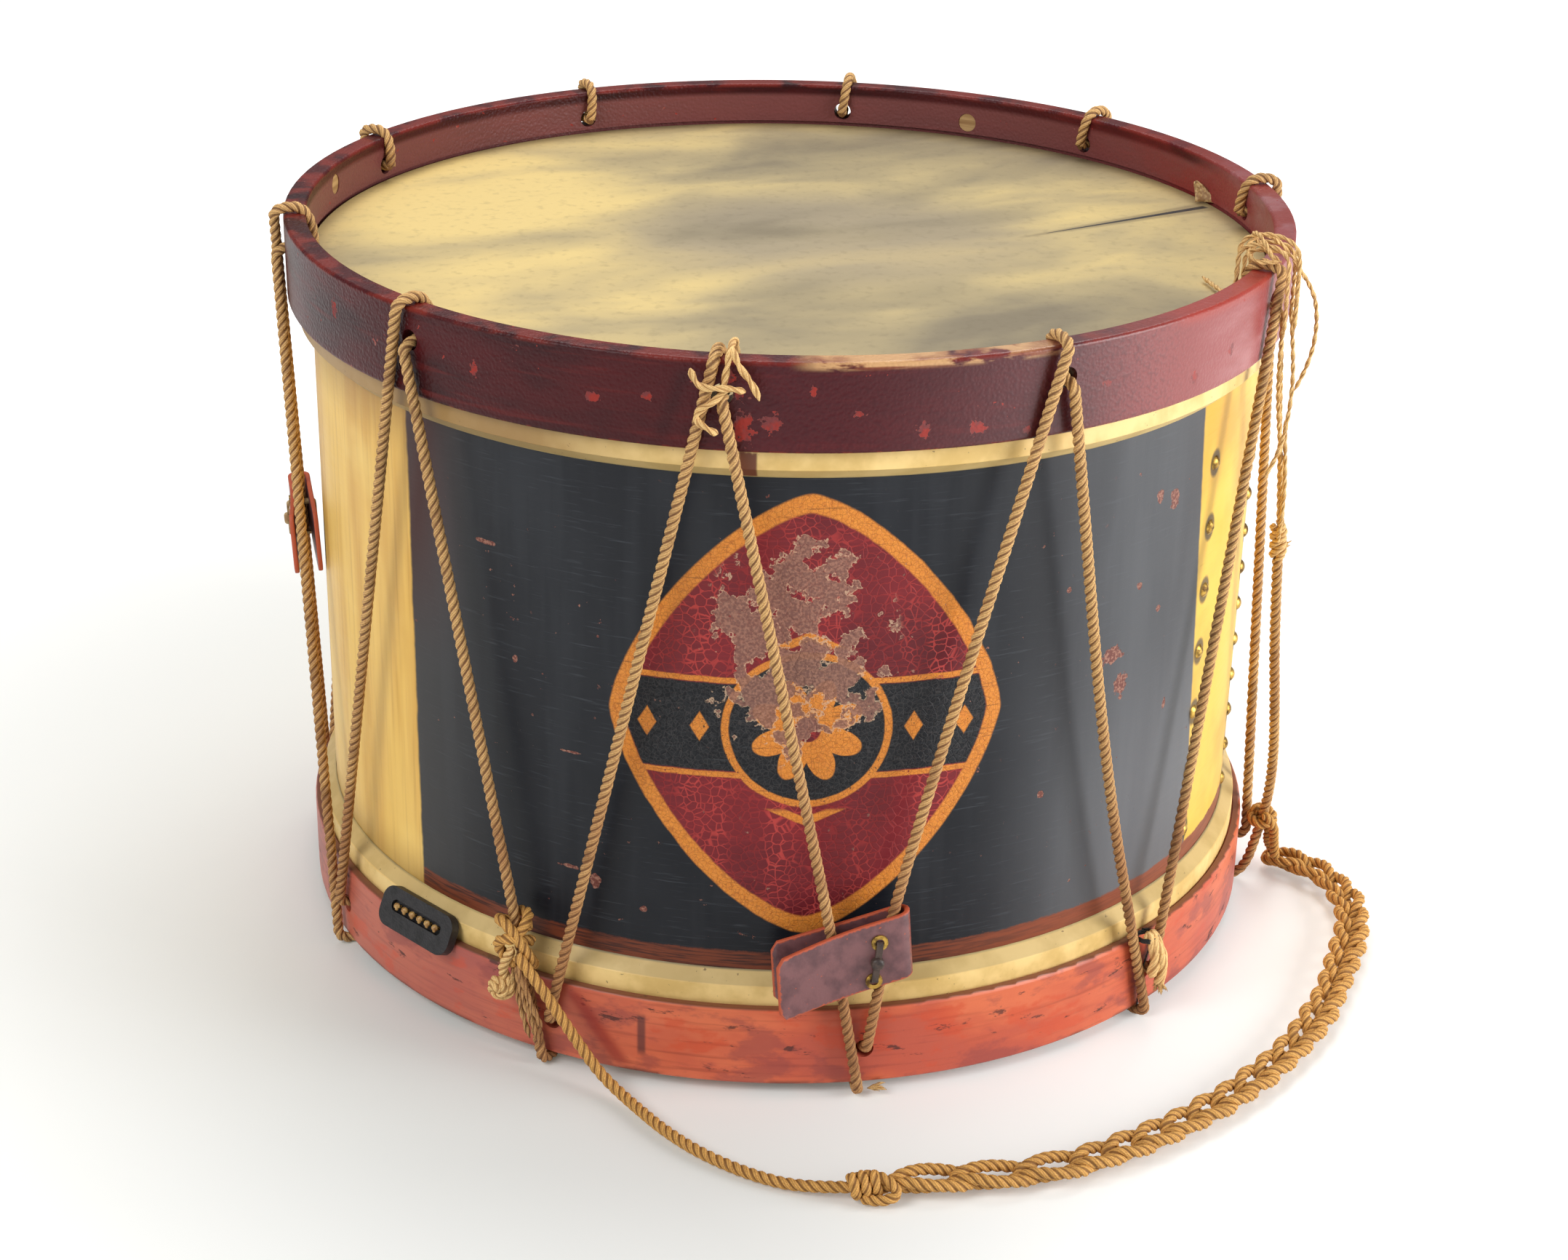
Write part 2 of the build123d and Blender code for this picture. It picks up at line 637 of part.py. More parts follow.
plate_in_r = hoop_r + fit_gap
bent = turned([
    (plate_in_r, rod_z - plate_h / 2), (plate_in_r + plate_t, rod_z - plate_h / 2),
    (plate_in_r + plate_t, rod_z + plate_h / 2), (plate_in_r, rod_z + plate_h / 2),
])
blank = extrude(RectangleRounded(plate_w, plate_h, 3 * plate_t), 4 * hoop_wall)
plate = bent & facing(snare_az, hoop_r - 2 * hoop_wall, rod_z) * blank
plate -= facing(snare_az, hoop_r, rod_z) * Cylinder(rod_d / 2 + running_gap, 4 * hoop_wall)
for azimuth, height in screw_places:
    plate -= facing(azimuth, hoop_r, height) * Cylinder(screw_d / 2 + running_gap, 4 * hoop_wall)
save("strainer_plate", plate.solid())

screw_seat_r = plate_in_r + plate_t
shank_l = screw_seat_r - hoop_r + screw_l - fit_gap
screw = (dome(screw_head_d, screw_head) + Pos(0, 0, -shank_l) * post(screw_d, shank_l)).solid()
save("strainer_screws", *[facing(azimuth, screw_seat_r, height) * screw for azimuth, height in screw_places])

nut = chamfer(post(nut_d, nut_t).edges().filter_by(GeomType.CIRCLE), nut_notch_d / 2)
nut -= Cylinder(rod_d / 2 + running_gap, 4 * nut_t)
for spot in PolarLocations(nut_d / 2, nut_notches):
    nut -= spot * Cylinder(nut_notch_d / 2, 4 * nut_t)
save("strainer_nut", facing(snare_az, screw_seat_r + nut_gap, rod_z) * nut)

# The drag rope is hitched to a leg at the front left, lies on the floor and is tied up at the right.
hitched = leg_route(9, True)
hitch_rope = (hitched[1] - hitched[0]).normalized()
hitch_r = rope_d / 2 + hitch_gap + drag_d / 2
hitch = Torus(hitch_r, drag_d / 2)
hitches = [Plane(at_height(*hitched, height), z_dir=hitch_rope) * hitch for height in hitch_heights]
save("drag_hitches", *hitches)

lead_points = [
    beside(-27.4, 11.0, 54.8), beside(-25.3, 11.4, 46.6), beside(-22.8, 11.4, 34.0),
    beside(-20.2, 10.6, 19.0), beside(-18.0, 11.2, 8.6), beside(-15.4, 15.0, 3.4),
    beside(-12.8, 23.0, 2.6), beside(-9.9, 34.0, 2.6), beside(-6.0, 47.4, 2.6), beside(-1.4, 60.0, 2.6),
    beside(2.6, 68.6, 3.4), beside(6.6, 72.4, 6.0),
]
save("drag_rope_lead", tube_along("drag rope lead", lead_points, drag_d))
tail_points = [beside(-28.0, 10.0, 57.2), beside(-29.2, 11.2, 47.6), beside(-29.6, 10.0, 36.8)]
tail = tube_along("drag rope tail", tail_points, drag_d) + Pos(tail_points[-1]) * Sphere(tail_knob_d / 2)
save("drag_rope_tail", tail.solid())

plait_z = plait_d / 2
plait_places = [
    (6.6, 72.4), (13.2, 72.6), (19.2, 78.4), (25.5, 79.2), (32.2, 76.6), (38.6, 74.3), (44.9, 71.4),
    (51.7, 68.1), (58.3, 63.7), (64.8, 59.1), (71.5, 57.7), (77.1, 53.3), (81.6, 42.8), (84.5, 28.1),
    (85.7, 15.2),
]
plait_points = [beside(azimuth, out, plait_z) for azimuth, out in plait_places]
save("drag_rope_plait", tube_along("drag rope plait", plait_points, plait_d))

# A turn of the same rope ties the plait up to the mended leg beside its bottom hole.
tie_rope = (mend_rope_points[-2] - mend_rope_points[-1]).normalized()
tied = mend_rope_points[-1] + tie_rope * drag_d
tie_ring = Plane(tied, z_dir=tie_rope) * hitch
tie_points = [tied + Vector(hitch_r, 0, 0), beside(85.0, 18.4, 18.0), plait_points[-1] + Vector(2, -1.5, 4)]
save("plait_tie", (tie_ring + tube_along("plait tie", tie_points, drag_d)).solid())
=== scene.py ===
# %% [markdown]
# # An old rope-tension field drum
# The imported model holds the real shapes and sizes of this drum: shell, hoops, skins, ropes and tugs.
# This notebook gives each piece its looks. Ropes get their laid strands, the leather its grain and wear,
# the shell its varnish and paint. Every value is in the drum's own frame, whose origin is on the floor
# under the middle of the shell, with the painted front facing -Y.

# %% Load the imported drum
import math
import random

import bpy
from mathutils import Matrix, Vector


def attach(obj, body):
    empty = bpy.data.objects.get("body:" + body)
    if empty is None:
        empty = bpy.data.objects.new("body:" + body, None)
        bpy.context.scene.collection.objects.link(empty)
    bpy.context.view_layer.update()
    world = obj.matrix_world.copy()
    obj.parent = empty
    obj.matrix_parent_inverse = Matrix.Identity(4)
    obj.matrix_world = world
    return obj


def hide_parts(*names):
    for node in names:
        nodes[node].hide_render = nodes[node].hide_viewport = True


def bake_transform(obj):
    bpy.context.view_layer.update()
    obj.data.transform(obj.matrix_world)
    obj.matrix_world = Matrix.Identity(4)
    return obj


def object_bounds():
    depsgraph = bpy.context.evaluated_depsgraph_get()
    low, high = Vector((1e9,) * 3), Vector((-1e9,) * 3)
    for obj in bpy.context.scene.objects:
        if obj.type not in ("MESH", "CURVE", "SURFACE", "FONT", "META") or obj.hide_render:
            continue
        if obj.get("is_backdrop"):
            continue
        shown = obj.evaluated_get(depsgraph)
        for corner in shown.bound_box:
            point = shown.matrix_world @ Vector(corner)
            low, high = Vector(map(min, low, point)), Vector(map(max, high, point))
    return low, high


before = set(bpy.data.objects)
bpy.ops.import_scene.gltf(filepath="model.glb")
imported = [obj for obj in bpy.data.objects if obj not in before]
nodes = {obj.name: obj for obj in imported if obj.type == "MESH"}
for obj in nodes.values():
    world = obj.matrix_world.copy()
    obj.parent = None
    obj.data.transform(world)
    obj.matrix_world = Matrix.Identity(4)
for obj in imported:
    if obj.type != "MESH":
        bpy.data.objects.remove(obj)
cad_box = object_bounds()
mm = 0.001
print("CAD nodes:", len(nodes))

# %% [markdown]
# ## Where the camera stands
# A drum is round, so the ellipses of its two hoops give the camera: how high it looks from, how far off it
# stands, and a small roll. A long lens keeps the far side of the hoop nearly as large as the near side.

# %% The camera
PHOTO_WIDTH = 2156
FOCAL_PIXELS = 3850.25
SENSOR = 36
LOOK_DOWN = math.radians(24.5556)
ROLL = math.radians(1.1679)

lens = bpy.data.cameras.new("camera")
lens.sensor_width = SENSOR
lens.lens = FOCAL_PIXELS / PHOTO_WIDTH * SENSOR
lens.shift_x = 0.0016
camera = bpy.data.objects.new("camera", lens)
bpy.context.scene.collection.objects.link(camera)
camera.matrix_world = (
    Matrix.Translation((0, -1.17669, 0.64727))
    @ Matrix.Rotation(math.pi / 2 - LOOK_DOWN, 4, "X")
    @ Matrix.Rotation(ROLL, 4, "Z")
)
bpy.context.scene.camera = camera
print(f"camera with a {lens.lens:.1f} mm lens")

# %% [markdown]
# ## Places on a drum
# Everything on a drum is easiest to place by an angle round it, a radius and a height. The same three
# numbers placed the rope holes when the solids were made, so they are repeated here, in metres.

# %% Places round the drum
HOOP_R = 216 * mm
BORE_R = 206.5 * mm
SHELL_R = 206 * mm
BOTTOM_EDGE = 4.6 * mm
TOP_EDGE = 314.6 * mm
ROPE_D = 4.8 * mm
LEG_R = HOOP_R + 1.5 * mm + ROPE_D / 2
INSIDE_R = BORE_R - 0.3 * mm - ROPE_D / 2
TOP_HOLE = TOP_EDGE - 13 * mm
BOTTOM_HOLE = BOTTOM_EDGE + 16.3 * mm
OVER_EDGE = 0.3 * mm + ROPE_D / 2
CROSSING = 2.3 * mm


def at(azimuth, radius, height, along=0.0):
    """The point at an angle from the front, in degrees, a radius and a height."""
    a = math.radians(azimuth)
    return Vector((
        radius * math.sin(a) + along * math.cos(a),
        -radius * math.cos(a) + along * math.sin(a),
        height,
    ))


def at_mm(azimuth, radius, height):
    return at(azimuth, radius * mm, height * mm)


def beside(azimuth, out, height):
    """The point that many millimetres outside the hoops' face."""
    return at(azimuth, HOOP_R + out * mm, height * mm)


def top_az(k):
    return -7 + 36 * k + {0: 0.8, 9: 1.2}.get(k % 10, 0)


def bottom_az(k):
    return 11 + 36 * k + {0: -1.2}.get(k % 10, 0)


# %% [markdown]
# ## A short way to write materials
# A material in Blender is a graph of nodes. Paint on an old drum is mostly arithmetic on masks: where is it
# worn, how far from the edge, is this a crack. So one small class wraps a socket and lets plain Python
# operators add the Math nodes, and a second one holds the material and adds every other node.

# %% Wires and finishes
class Wire:
    """One output of a node. Arithmetic on it adds Math nodes."""

    def __init__(self, finish, socket):
        self.finish = finish
        self.socket = socket

    def maths(self, operation, *values):
        return self.finish.node("ShaderNodeMath", {"operation": operation}, dict(enumerate(values)))

    def __add__(self, other):
        return self.maths("ADD", self, other)

    def __sub__(self, other):
        return self.maths("SUBTRACT", self, other)

    def __mul__(self, other):
        return self.maths("MULTIPLY", self, other)

    def __truediv__(self, other):
        return self.maths("DIVIDE", self, other)

    def __rsub__(self, other):
        return self.maths("SUBTRACT", other, self)

    def __rtruediv__(self, other):
        return self.maths("DIVIDE", other, self)

    __radd__ = __add__
    __rmul__ = __mul__

    def __abs__(self):
        return self.maths("ABSOLUTE", self)

    def __pow__(self, other):
        return self.maths("POWER", self, other)

    def sine(self):
        return self.maths("SINE", self)

    def part(self):
        """What is left after the whole number, which repeats a pattern."""
        return self.maths("FRACT", self)

    def most(self, other):
        return self.maths("MAXIMUM", self, other)

    def least(self, other):
        return self.maths("MINIMUM", self, other)

    def rise(self, low, high):
        """0 below low and 1 above high, with a soft step between them. It falls if high is the lower."""
        settings = {"interpolation_type": "SMOOTHSTEP"}
        if low < high:
            return self.finish.node(
                "ShaderNodeMapRange", settings, {"Value": self, "From Min": low, "From Max": high}
            )
        return 1 - self.rise(high, low)

    def within(self, low, high, soft):
        return self.rise(low - soft, low + soft) * self.rise(high + soft, high - soft)


class Finish:
    """A material with one Principled shader, measured in millimetres round the drum."""

    def __init__(self, name):
        self.material = bpy.data.materials.new(name)
        self.material.use_nodes = True
        self.tree = self.material.node_tree
        self.tree.nodes.clear()
        self.shader = self.tree.nodes.new("ShaderNodeBsdfPrincipled")
        self.output = self.tree.nodes.new("ShaderNodeOutputMaterial")
        self.tree.links.new(self.shader.outputs[0], self.output.inputs[0])
        self.place = self.node("ShaderNodeTexCoord", output="Object")
        spots = [self.node("ShaderNodeSeparateXYZ", inputs={0: self.place}, output=i) for i in range(3)]
        self.x, self.y, self.z = [spot * (1 / mm) for spot in spots]

    def node(self, kind, settings=None, inputs=None, output=0):
        """Add one node: its settings first, then the values or wires of its sockets."""
        made = self.tree.nodes.new(kind)
        for name, value in (settings or {}).items():
            setattr(made, name, value)
        for socket, value in (inputs or {}).items():
            self.feed(made.inputs[socket], value)
        return Wire(self, made.outputs[output])

    def feed(self, socket, value):
        if isinstance(value, Wire):
            self.tree.links.new(value.socket, socket)
        else:
            socket.default_value = value

    def round_the_drum(self):
        """The angle in degrees and the radius in millimetres of the point being shaded."""
        turn = self.x.maths("ARCTAN2", self.x, 0 - self.y) * (180 / math.pi)
        radius = (self.x * self.x + self.y * self.y) ** 0.5
        return turn, radius

    def vector(self, x, y, z=0.0):
        return self.node("ShaderNodeCombineXYZ", inputs={0: x, 1: y, 2: z})

    def noise(self, size, detail=3.0, roughness=0.55, stretch=(1, 1, 1), vector=None, distortion=0.0):
        """Soft noise whose blotches are about `size` millimetres across."""
        scaled = self.node("ShaderNodeVectorMath", {"operation": "MULTIPLY"}, {
            0: vector or self.vector(self.x, self.y, self.z), 1: stretch,
        })
        return self.node("ShaderNodeTexNoise", inputs={
            "Vector": scaled, "Scale": 1 / size, "Detail": detail, "Roughness": roughness,
            "Distortion": distortion,
        })

    def cells(self, size, feature="F1", output="Distance", vector=None, randomness=1.0):
        """Cracked or scattered cells about `size` millimetres across."""
        return self.node("ShaderNodeTexVoronoi", {"feature": feature}, {
            "Vector": vector or self.vector(self.x, self.y, self.z), "Scale": 1 / size,
            "Randomness": randomness,
        }, output)

    def spots(self, turn, height, places, ragged, radius=SHELL_R / mm):
        """A mask of ragged spots at (angle, height, half width, half height) places."""
        mask = None
        for azimuth, level, half_width, half_height in places:
            across = (turn - azimuth) * (math.pi / 180 * radius / half_width)
            up = (height - level) / half_height
            spot = ((across * across + up * up) ** 0.5 + ragged).rise(1.12, 0.96)
            mask = spot if mask is None else mask.most(spot)
        return mask

    def mix(self, mask, below, above, blend="MIX"):
        """One colour over another where the mask is 1."""
        settings = {"data_type": "RGBA", "blend_type": blend, "clamp_factor": True}
        return self.node("ShaderNodeMix", settings, {0: mask, 6: below, 7: above}, output=2)

    def dress(self, colour, roughness=0.5, metallic=0.0, relief=None, depth=0.0002, strength=1.0, **values):
        """Feed the shader. Relief is a height from 0 to 1, and depth is what 1 stands for, in metres."""
        self.feed(self.shader.inputs["Base Color"], colour)
        self.feed(self.shader.inputs["Roughness"], roughness)
        self.feed(self.shader.inputs["Metallic"], metallic)
        for name, value in values.items():
            self.feed(self.shader.inputs[name.replace("_", " ")], value)
        if relief is not None:
            bump = self.node("ShaderNodeBump", inputs={
                "Strength": strength, "Distance": depth, "Height": relief,
            })
            self.feed(self.shader.inputs["Normal"], bump)
        return self

    def cover(self, *pieces):
        for piece in pieces:
            piece.data.materials.clear()
            piece.data.materials.append(self.material)


def colour(red, green, blue):
    """A colour as a colour picker shows it, from 0 to 255, turned into the linear light that shaders use."""
    linear = []
    for value in (red, green, blue):
        share = value / 255
        linear.append(share / 12.92 if share <= 0.04045 else ((share + 0.055) / 1.055) ** 2.4)
    return (*linear, 1.0)


# %% [markdown]
# ## Floor, air and lamps
# The drum stands on a white sweep. The floor is pale and keeps a soft shadow, and two large soft lamps give
# the long highlights on the paint. White behind the drum is painted light: the floor glows for camera, mirror
# and transmission rays, faintly near the drum, fully farther off, and more toward the right than the left.

# %% The floor and the lamps
floor_size = 9.0
floor_mesh = bpy.data.meshes.new("floor")
half = floor_size / 2
floor_mesh.from_pydata([(-half, -half, 0), (half, -half, 0), (half, half, 0), (-half, half, 0)], [], [(0, 1, 2, 3)])
floor = bpy.data.objects.new("floor", floor_mesh)
bpy.context.scene.collection.objects.link(floor)
floor.location.z = -0.0003
floor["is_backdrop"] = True

paper = Finish("white_paper")
seen = paper.node("ShaderNodeLightPath", output="Is Camera Ray")
mirrored = paper.node("ShaderNodeLightPath", output="Is Glossy Ray")
through = paper.node("ShaderNodeLightPath", output="Is Transmission Ray")
glow = seen.most(mirrored).most(through)
away = (paper.x * paper.x + paper.y * paper.y) ** 0.5
# Painted light: the floor's glow is raised toward the right, standing in for more light falling there.
right_side_painted_glow = paper.x.rise(-60, 200) * 0.42
paper.dress(colour(226, 226, 224), roughness=0.9, Emission_Color=paper.mix(
    glow * away.rise(240, 900).most(right_side_painted_glow), (0.06, 0.07, 0.06, 1), (0.6, 0.6, 0.6, 1)
), Emission_Strength=1.0)
paper.cover(floor)

world = bpy.data.worlds.new("air")
world.use_nodes = True
bpy.context.scene.world = world
air = world.node_tree
background = air.nodes["Background"]
background.inputs["Color"].default_value = (1, 1, 1, 1)
background.inputs["Strength"].default_value = 0.26


def soft_lamp(name, place, aim, size, power):
    """A large square lamp that faces a point."""
    data = bpy.data.lights.new(name, "AREA")
    data.shape = "SQUARE"
    data.size = size
    data.energy = power
    lamp = bpy.data.objects.new(name, data)
    bpy.context.scene.collection.objects.link(lamp)
    lamp.location = place
    lamp.rotation_euler = (Vector(aim) - Vector(place)).to_track_quat("-Z", "Y").to_euler()
    return lamp


DRUM_MIDDLE = (0, 0, 0.15)
soft_lamp("left_window", (-1.2, -1.3, 1.5), DRUM_MIDDLE, 1.2, 26)
soft_lamp("right_window", (1.5, -0.55, 0.55), DRUM_MIDDLE, 0.9, 24)
soft_lamp("top_window", (0.1, 0.9, 2.0), DRUM_MIDDLE, 1.5, 30)
bpy.context.scene.view_settings.view_transform = "Standard"
print("three soft lamps over a white floor")

# %% [markdown]
# ## Laid rope
# Hemp rope is three strands twisted round each other, right-handed, and each strand is made of yarns that
# are twisted the other way, so that the yarns run nearly straight along the rope. A curve with a round bevel
# has no strands. Here a ring with three lobes is carried along the rope's line and turned as it goes, and the
# yarns come from the material, which reads how far round and how far along each point is.

# %% Lines to follow
def smooth_line(points, step):
    """Even points along a smooth spline that a rope's route controls."""
    curve = bpy.data.curves.new("route", "CURVE")
    curve.dimensions = "3D"
    curve.resolution_u = 24
    spline = curve.splines.new("NURBS")
    spline.points.add(len(points) - 1)
    for knot, point in zip(spline.points, points):
        knot.co = (*point, 1)
    spline.order_u = 3
    spline.use_endpoint_u = True
    carrier = bpy.data.objects.new("route", curve)
    mesh = bpy.data.meshes.new_from_object(carrier)
    line = [vertex.co.copy() for vertex in mesh.vertices]
    bpy.data.objects.remove(carrier)
    bpy.data.curves.remove(curve)
    bpy.data.meshes.remove(mesh)
    return even_steps(line, step)


def even_steps(line, step):
    """The same line with points an even step apart."""
    reach = [0.0]
    for a, b in zip(line, line[1:]):
        reach.append(reach[-1] + (b - a).length)
    count = max(2, round(reach[-1] / step) + 1)
    made = []
    i = 0
    for n in range(count):
        goal = reach[-1] * n / (count - 1)
        while i < len(line) - 2 and reach[i + 1] < goal:
            i += 1
        run = reach[i + 1] - reach[i]
        made.append(line[i].lerp(line[i + 1], (goal - reach[i]) / run if run else 0))
    return made


def line_length(line):
    return sum((b - a).length for a, b in zip(line, line[1:]))


def carried_frames(line):
    """A pair of cross directions at each point that turn with the line but never spin about it."""
    frames = []
    across = None
    for i, point in enumerate(line):
        ahead = (line[min(i + 1, len(line) - 1)] - line[max(i - 1, 0)]).normalized()
        if across is None:
            across = ahead.orthogonal().normalized()
        across = (across - ahead * across.dot(ahead)).normalized()
        frames.append((point, across, ahead.cross(across)))
    return frames


def make_piece(name, vertices, faces, uv=None, smooth=True):
    """A mesh object from plain lists, with one pair of UV numbers for each face corner."""
    mesh = bpy.data.meshes.new(name)
    mesh.from_pydata([tuple(v) for v in vertices], [], faces)
    if uv:
        layer = mesh.uv_layers.new(name="along")
        for loop, pair in zip(layer.data, [pair for face in uv for pair in face]):
            loop.uv = pair
    for polygon in mesh.polygons:
        polygon.use_smooth = smooth
    piece = bpy.data.objects.new(name, mesh)
    bpy.context.scene.collection.objects.link(piece)
    return piece


# %% Strands round a line
LAY = 2.4
LOBE_POINTS = 6
STRAND_OFFSET = 0.62


def lobed_radius(angle, strands):
    """How far the outside of a bundle of round strands is from its middle, as a share of its radius."""
    off = (angle + math.pi / strands) % (2 * math.pi / strands) - math.pi / strands
    lobe = STRAND_OFFSET * math.cos(off) + math.sqrt(1 - (STRAND_OFFSET * math.sin(off)) ** 2)
    return lobe / (STRAND_OFFSET + 1)


def rope_mesh(name, lines, diameter, strands=3, lay=LAY, taper=0.0, low=None):
    """Laid ropes along one or more lines, in one mesh. Taper narrows both ends over that length."""
    vertices, faces, uv = [], [], []
    ring = LOBE_POINTS * strands
    for line in lines:
        first = len(vertices)
        reach = 0.0
        total = line_length(line)
        frames = carried_frames(line)
        for i, (point, across, up) in enumerate(frames):
            if i:
                reach += (point - frames[i - 1][0]).length
            spin = 2 * math.pi * reach / (lay * diameter)
            shrink = min(1.0, 0.25 + min(reach, total - reach) / taper) if taper else 1.0
            for k in range(ring):
                angle = 2 * math.pi * k / ring
                radius = diameter / 2 * lobed_radius(angle, strands) * shrink
                way = across * math.cos(angle + spin) + up * math.sin(angle + spin)
                vertex = point + way * radius
                if low is not None:
                    vertex.z = max(vertex.z, low)
                vertices.append(vertex)
            if i:
                here = reach / (lay * diameter)
                before = (reach - (point - frames[i - 1][0]).length) / (lay * diameter)
                base = first + (i - 1) * ring
                for k in range(ring):
                    n = (k + 1) % ring
                    faces.append((base + k, base + n, base + ring + n, base + ring + k))
                    left, right = k / ring, (k + 1) / ring
                    uv.append(((left, before), (right, before), (right, here), (left, here)))
        last = first + (len(frames) - 1) * ring
        for start, order in ((first, reversed(range(ring))), (last, range(ring))):
            faces.append(tuple(start + k for k in order))
            uv.append(((0.5, 0.5),) * ring)
    piece = make_piece(name, vertices, faces, uv)
    print(f"{name}: {len(lines)} ropes, {len(vertices)} points")
    return piece


# %% [markdown]
# ## What hemp looks like
# Old hemp is straw-gold on the crown of each strand and grey-brown where hands and dust have darkened it.
# The grooves between strands and between yarns get a painted shade of brown. Those grooves and the yarns
# both come from the UV numbers, and a long soft noise changes the colour from place to place.

# %% Hemp
def hemp(name, crown, middle, groove_shade_and_grime, yarns=9, grime=0.5, browning=0.0):
    """Three-strand hemp in three shades, browner toward the floor."""
    finish = Finish(name)
    along = finish.node("ShaderNodeUVMap", {"uv_map": "along"})
    round_it = finish.node("ShaderNodeSeparateXYZ", inputs={0: along}, output=0)
    length = finish.node("ShaderNodeSeparateXYZ", inputs={0: along}, output=1)
    lobe = 0.5 - 0.5 * (round_it * (2 * math.pi * 3) + math.pi / 2).sine()
    yarn = 0.5 + 0.5 * ((round_it * yarns - length) * (2 * math.pi)).sine()
    fibre = finish.noise(0.5, detail=4.0)
    patch = finish.noise(16.0, detail=3.0)
    shade = finish.mix(fibre.rise(0.4, 0.7), crown, middle)
    low = finish.z.rise(210, 60) * finish.noise(40.0, detail=3.0).rise(0.3, 0.6) * browning
    shade = finish.mix(low, shade, colour(150, 84, 44))
    # Painted shade: the grooves between yarns and between strands are darkened to the groove colour.
    shade = finish.mix((1 - yarn).rise(0.55, 1.0) * 0.45, shade, groove_shade_and_grime)
    shade = finish.mix(lobe.rise(0.6, 1.0) * 0.85, shade, groove_shade_and_grime)
    shade = finish.mix(patch.rise(0.5, 0.72) * grime, shade, groove_shade_and_grime)
    relief = yarn * 0.45 + fibre * 0.35 - lobe * 0.3
    return finish.dress(shade, roughness=0.75, relief=relief, depth=0.25 * mm, strength=0.7)


leg_hemp = hemp("leg_hemp", colour(228, 184, 120), colour(196, 146, 86), colour(104, 62, 32), grime=0.45,
                browning=0.6)
drag_hemp = hemp("drag_hemp", colour(226, 172, 92), colour(194, 136, 64), colour(116, 72, 28), grime=0.24)
end_hemp = hemp("end_hemp", colour(246, 208, 142), colour(226, 176, 106), colour(166, 116, 62), grime=0.12)
print("three shades of hemp")

# %% [markdown]
# ## The tension rope
# One rope zigzags between the hoops. Each leg comes out of a hole in one hoop, passes over the outside of
# the other hoop's edge and goes back through the next hole from the inside. Each leg here runs from the
# inside of one hoop to the inside of the other, so that the ends meet where nobody looks. Three legs are not
# straight: two are drawn together by the front tug, and one has gone slack.

# %% Routes of the legs
BENDS = {
    (0, True): [at_mm(5.5, 218.8, 84.0)],
    (0, False): [at_mm(11.2, 218.9, 55.0), at_mm(12.1, 218.2, 86.0)],
    (1, True): [at_mm(36.8, 217.9, 134.0)],
}
SHORT_STEP = 9 * mm
LONG_STEP = 29 * mm


def hoop_corners(k, top):
    """The corners of the rope at one hoop: over the edge, down the inside, and out of the hole."""
    azimuth = top_az(k) if top else bottom_az(k)
    edge = TOP_EDGE + OVER_EDGE if top else BOTTOM_EDGE - OVER_EDGE
    hole = TOP_HOLE if top else BOTTOM_HOLE
    return [
        at(azimuth, LEG_R, edge, -CROSSING), at(azimuth, INSIDE_R, edge, -CROSSING),
        at(azimuth, INSIDE_R, hole), at(azimuth, LEG_R, hole),
    ]


def straight_starts(corner, toward):
    """Two points that keep a tight rope straight where it leaves a hoop."""
    way = (toward - corner).normalized()
    return [corner + way * SHORT_STEP, corner + way * LONG_STEP]


def leg_route(k, falling):
    """A leg from the inside of one hoop, out of its hole, to the inside of the other hoop."""
    start = hoop_corners(k, falling)[2:]
    end = hoop_corners(k if falling else k + 1, not falling)[:3]
    middle = BENDS.get((k, falling), [])
    first = middle[0] if middle else end[0]
    last = middle[-1] if middle else start[-1]
    leaving = straight_starts(start[-1], first)
    arriving = straight_starts(end[0], last)[::-1]
    return [*start, *leaving, *middle, *arriving, *end]


LEG_STEP = 0.9 * mm
MENDED = (2, True)
DRAWN_IN = [(0, True), (0, False)]
plain_legs = [(k, falling) for k in range(10) for falling in (True, False)]
plain_legs = [which for which in plain_legs if which not in DRAWN_IN + [MENDED]]
leg_lines = [smooth_line(leg_route(*which), LEG_STEP) for which in plain_legs]
legs = rope_mesh("tension_rope", leg_lines, ROPE_D, low=0.0001)
leg_hemp.cover(legs)
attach(legs, "drum")
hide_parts("rope_legs", "top_bights", "bottom_bights")

# %% [markdown]
# The front pair of legs passes through the leather tug. When the tug slides up it draws them together, so
# each is cut at the tug into a lower and an upper length, which keep the leg's bent route.

# %% The drawn-in pair
TUG_HEIGHT = 70 * mm
for which, word in ((DRAWN_IN[0], "falling"), (DRAWN_IN[1], "rising")):
    line = smooth_line(leg_route(*which), LEG_STEP)
    if line[0].z > line[-1].z:
        line = line[::-1]
    cut = min(range(len(line)), key=lambda i: abs(line[i].z - TUG_HEIGHT) + (0 if 60 < i else 1))
    for part, length in (("lower", line[:cut + 1]), ("upper", line[cut:])):
        piece = rope_mesh(f"vee_{word}_{part}", [length], ROPE_D, low=0.0001)
        leg_hemp.cover(piece)
        away = (length[0] if part == "lower" else length[-1])
        near = line[cut] + Vector((0, 0, -0.018 if part == "lower" else 0.018))
        start = BOTTOM_HOLE if part == "lower" else TOP_HOLE
        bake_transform(piece)
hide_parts("front_vee_rope")

# %% [markdown]
# ## The mended leg
# At the right a leg has broken and been mended: two thin strands hang from the top hoop, a splice joins them
# to a length of rope, and that rope bows out and is tied to the drag rope below.

